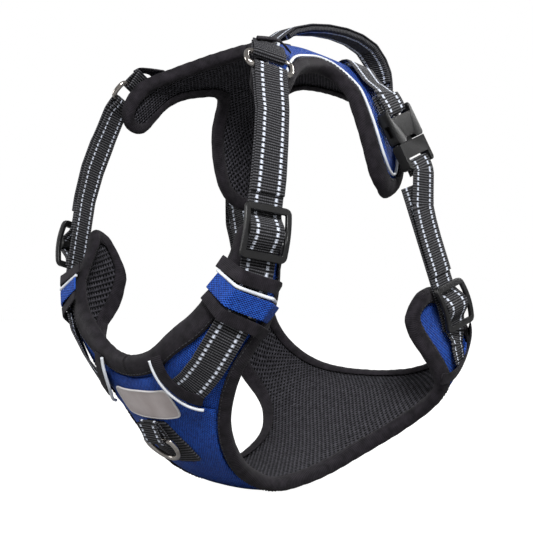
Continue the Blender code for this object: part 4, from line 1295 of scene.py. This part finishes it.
def webbing_cloth(name, dashes):
    """Ribbed grey webbing with painted shade on its ribs, lighter on their tops and darker in the grooves,
    and two columns of reflective dashes if asked for.
    """
    look = Surface(name, 0.7, sheen=0.03)
    ribs = look.wave(look.along, RIB_PITCH)
    cross = look.wave(look.across, 1.6)
    # painted shade and highlight: the colour follows the ribs, light on their tops and near black in the
    # grooves, with a slow random tone over it
    painted_rib_shading = look.math("POWER", look.math("MULTIPLY", look.math("ADD", ribs, 1.0), 0.5), 2.0)
    light = look.math("MULTIPLY", painted_rib_shading, look.cloud(500.0, 0.6, 1.0))
    colour = look.mix(light, (0.005, 0.005, 0.006), (0.135, 0.135, 0.148))
    if dashes:
        column = look.math("ABSOLUTE", look.math("SUBTRACT", look.math("ABSOLUTE", look.across), 7.25))
        in_column = look.math("LESS_THAN", column, 1.15)
        in_dash = look.math("LESS_THAN", look.math("MODULO", look.math("ADD", look.along, 400.0), 4.0), 2.6)
        colour = look.mix(look.math("MULTIPLY", in_column, in_dash), colour, (0.74, 0.79, 0.9))
    look.colour(colour)
    look.relief(cross, 0.3)
    return look.material


def plain_look(name, dark, light, roughness, grain, metallic=0.0):
    """A finish with only slow variation and a fine grain."""
    look = Surface(name, roughness, metallic, shine=0.5)
    look.colour(look.mix(look.cloud(120.0, 0.0, 1.0), dark, light))
    look.relief(look.cloud(900.0, 0.0, 1.0), grain)
    return look.material


def label_cloth():
    """Pale blank label."""
    look = Surface("label", 0.6, sheen=0.2)
    weave = look.math("MULTIPLY", look.wave(look.along, 0.9), look.wave(look.across, 0.9))
    look.colour(look.mix(look.cloud(60.0, 0.0, 1.0), (0.52, 0.45, 0.44), (0.66, 0.6, 0.59)))
    look.relief(weave, 0.08)
    return look.material


# ---------------------------------------------------------------- studio

def area_light(name, place, aim, size, watts):
    """A soft round light that points at a place."""
    data = bpy.data.lights.new(name, "AREA")
    data.shape = "DISK"
    data.size = size
    data.energy = watts
    lamp = placed(name, data)
    lamp.location = place
    lamp.rotation_euler = (Vector(aim) - Vector(place)).to_track_quat("-Z", "Y").to_euler()


def seen_by_camera(tree):
    """A node that is 1 for what the camera sees directly and 0 for the light that falls on the harness."""
    return tree.nodes.new("ShaderNodeLightPath").outputs["Is Camera Ray"]


def world_light():
    """A white world that lights the harness less than it shows to the camera."""
    world = bpy.data.worlds.new("studio")
    world.use_nodes = True
    tree = world.node_tree
    background = tree.nodes["Background"]
    background.inputs["Color"].default_value = (1.0, 1.0, 1.0, 1.0)
    strength = tree.nodes.new("ShaderNodeMapRange")
    set_inputs(strength, {"To Min": 0.3, "To Max": 1.0})
    tree.links.new(seen_by_camera(tree), strength.inputs["Value"])
    tree.links.new(strength.outputs["Result"], background.inputs["Strength"])
    bpy.context.scene.world = world
    bpy.context.scene.view_settings.view_transform = "Standard"


def paper_floor():
    """A plain floor that looks white and throws little light back up."""
    corners = [(-6, -6, 0), (6, -6, 0), (6, 6, 0), (-6, 6, 0)]
    mesh = bpy.data.meshes.new("floor")
    mesh.from_pydata(corners, [], [(0, 1, 2, 3)])
    paper = bpy.data.materials.new("paper")
    paper.use_nodes = True
    tree = paper.node_tree
    shader = tree.nodes["Principled BSDF"]
    set_inputs(shader, {"Base Color": (0.3, 0.3, 0.3, 1.0), "Roughness": 0.9,
                        "Emission Color": (1.0, 1.0, 1.0, 1.0)})
    tree.links.new(seen_by_camera(tree), shader.inputs["Emission Strength"])
    mesh.materials.append(paper)
    placed("floor", mesh)


def studio():
    """World, floor, three soft lights and the camera."""
    world_light()
    paper_floor()
    area_light("key", (1.1, -0.9, 1.2), (0, 0, 0.2), 0.6, 34)
    area_light("fill", (-1.2, -1.0, 0.7), (0, 0, 0.2), 1.0, 9)
    area_light("rim", (0.2, 1.3, 1.1), (0, 0, 0.25), 0.8, 14)
    data = bpy.data.cameras.new("camera")
    data.angle = math.radians(CAMERA_ANGLE)
    camera = placed("camera", data)
    camera.location = CAMERA_AT
    camera.rotation_euler = (math.radians(CAMERA_TILT), 0.0, math.radians(CAMERA_TURN))
    bpy.context.scene.camera = camera


# ---------------------------------------------------------------- the whole object


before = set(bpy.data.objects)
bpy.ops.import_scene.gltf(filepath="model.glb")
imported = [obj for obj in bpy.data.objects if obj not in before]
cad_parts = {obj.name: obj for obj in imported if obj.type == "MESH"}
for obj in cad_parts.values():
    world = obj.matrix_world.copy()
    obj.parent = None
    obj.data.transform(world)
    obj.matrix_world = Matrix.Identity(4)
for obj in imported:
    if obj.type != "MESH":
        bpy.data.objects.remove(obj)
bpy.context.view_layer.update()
# each finish, with the record's material slot that it belongs to
MATERIALS = {
    "oxford": (oxford_cloth(), "shell_cloth"),
    "mesh": (mesh_cloth(), "mesh_lining"),
    "tape": (edge_tape(), "edge_tape"),
    "webbing": (webbing_cloth("webbing", True), "webbing"),
    "plain_webbing": (webbing_cloth("plain_webbing", False), "webbing"),
    "reflective": (plain_look("reflective", (0.6, 0.63, 0.68), (0.8, 0.83, 0.87), 0.4, 0.05), "reflective"),
    "plastic": (plain_look("plastic", (0.006, 0.006, 0.006), (0.01, 0.01, 0.011), 0.38, 0.04),
                "hard_plastic"),
    "metal": (plain_look("metal", (0.36, 0.33, 0.3), (0.55, 0.52, 0.49), 0.2, 0.01, 1.0), "ring_metal"),
    "label": (label_cloth(), "label_cloth"),
    "thread": (plain_look("thread", (0.02, 0.02, 0.024), (0.04, 0.04, 0.046), 0.6, 0.05), "edge_tape"),
    "pale_thread": (plain_look("pale_thread", (0.6, 0.58, 0.57), (0.72, 0.7, 0.69), 0.6, 0.05),
                    "label_cloth"),
}
chest_pieces()
back_pieces()
front_ring()
for side, name in ((1, "left"), (-1, "right")):
    mouth_pieces(side, name)
    neck_strap(side, name)
    neck_ring(side, name)
    keeper_pieces(side, name)
    buckle_female(side, name)
    buckle_male(side, name)
    girth_strap(side, name)
back_webbing()
handle()
studio()
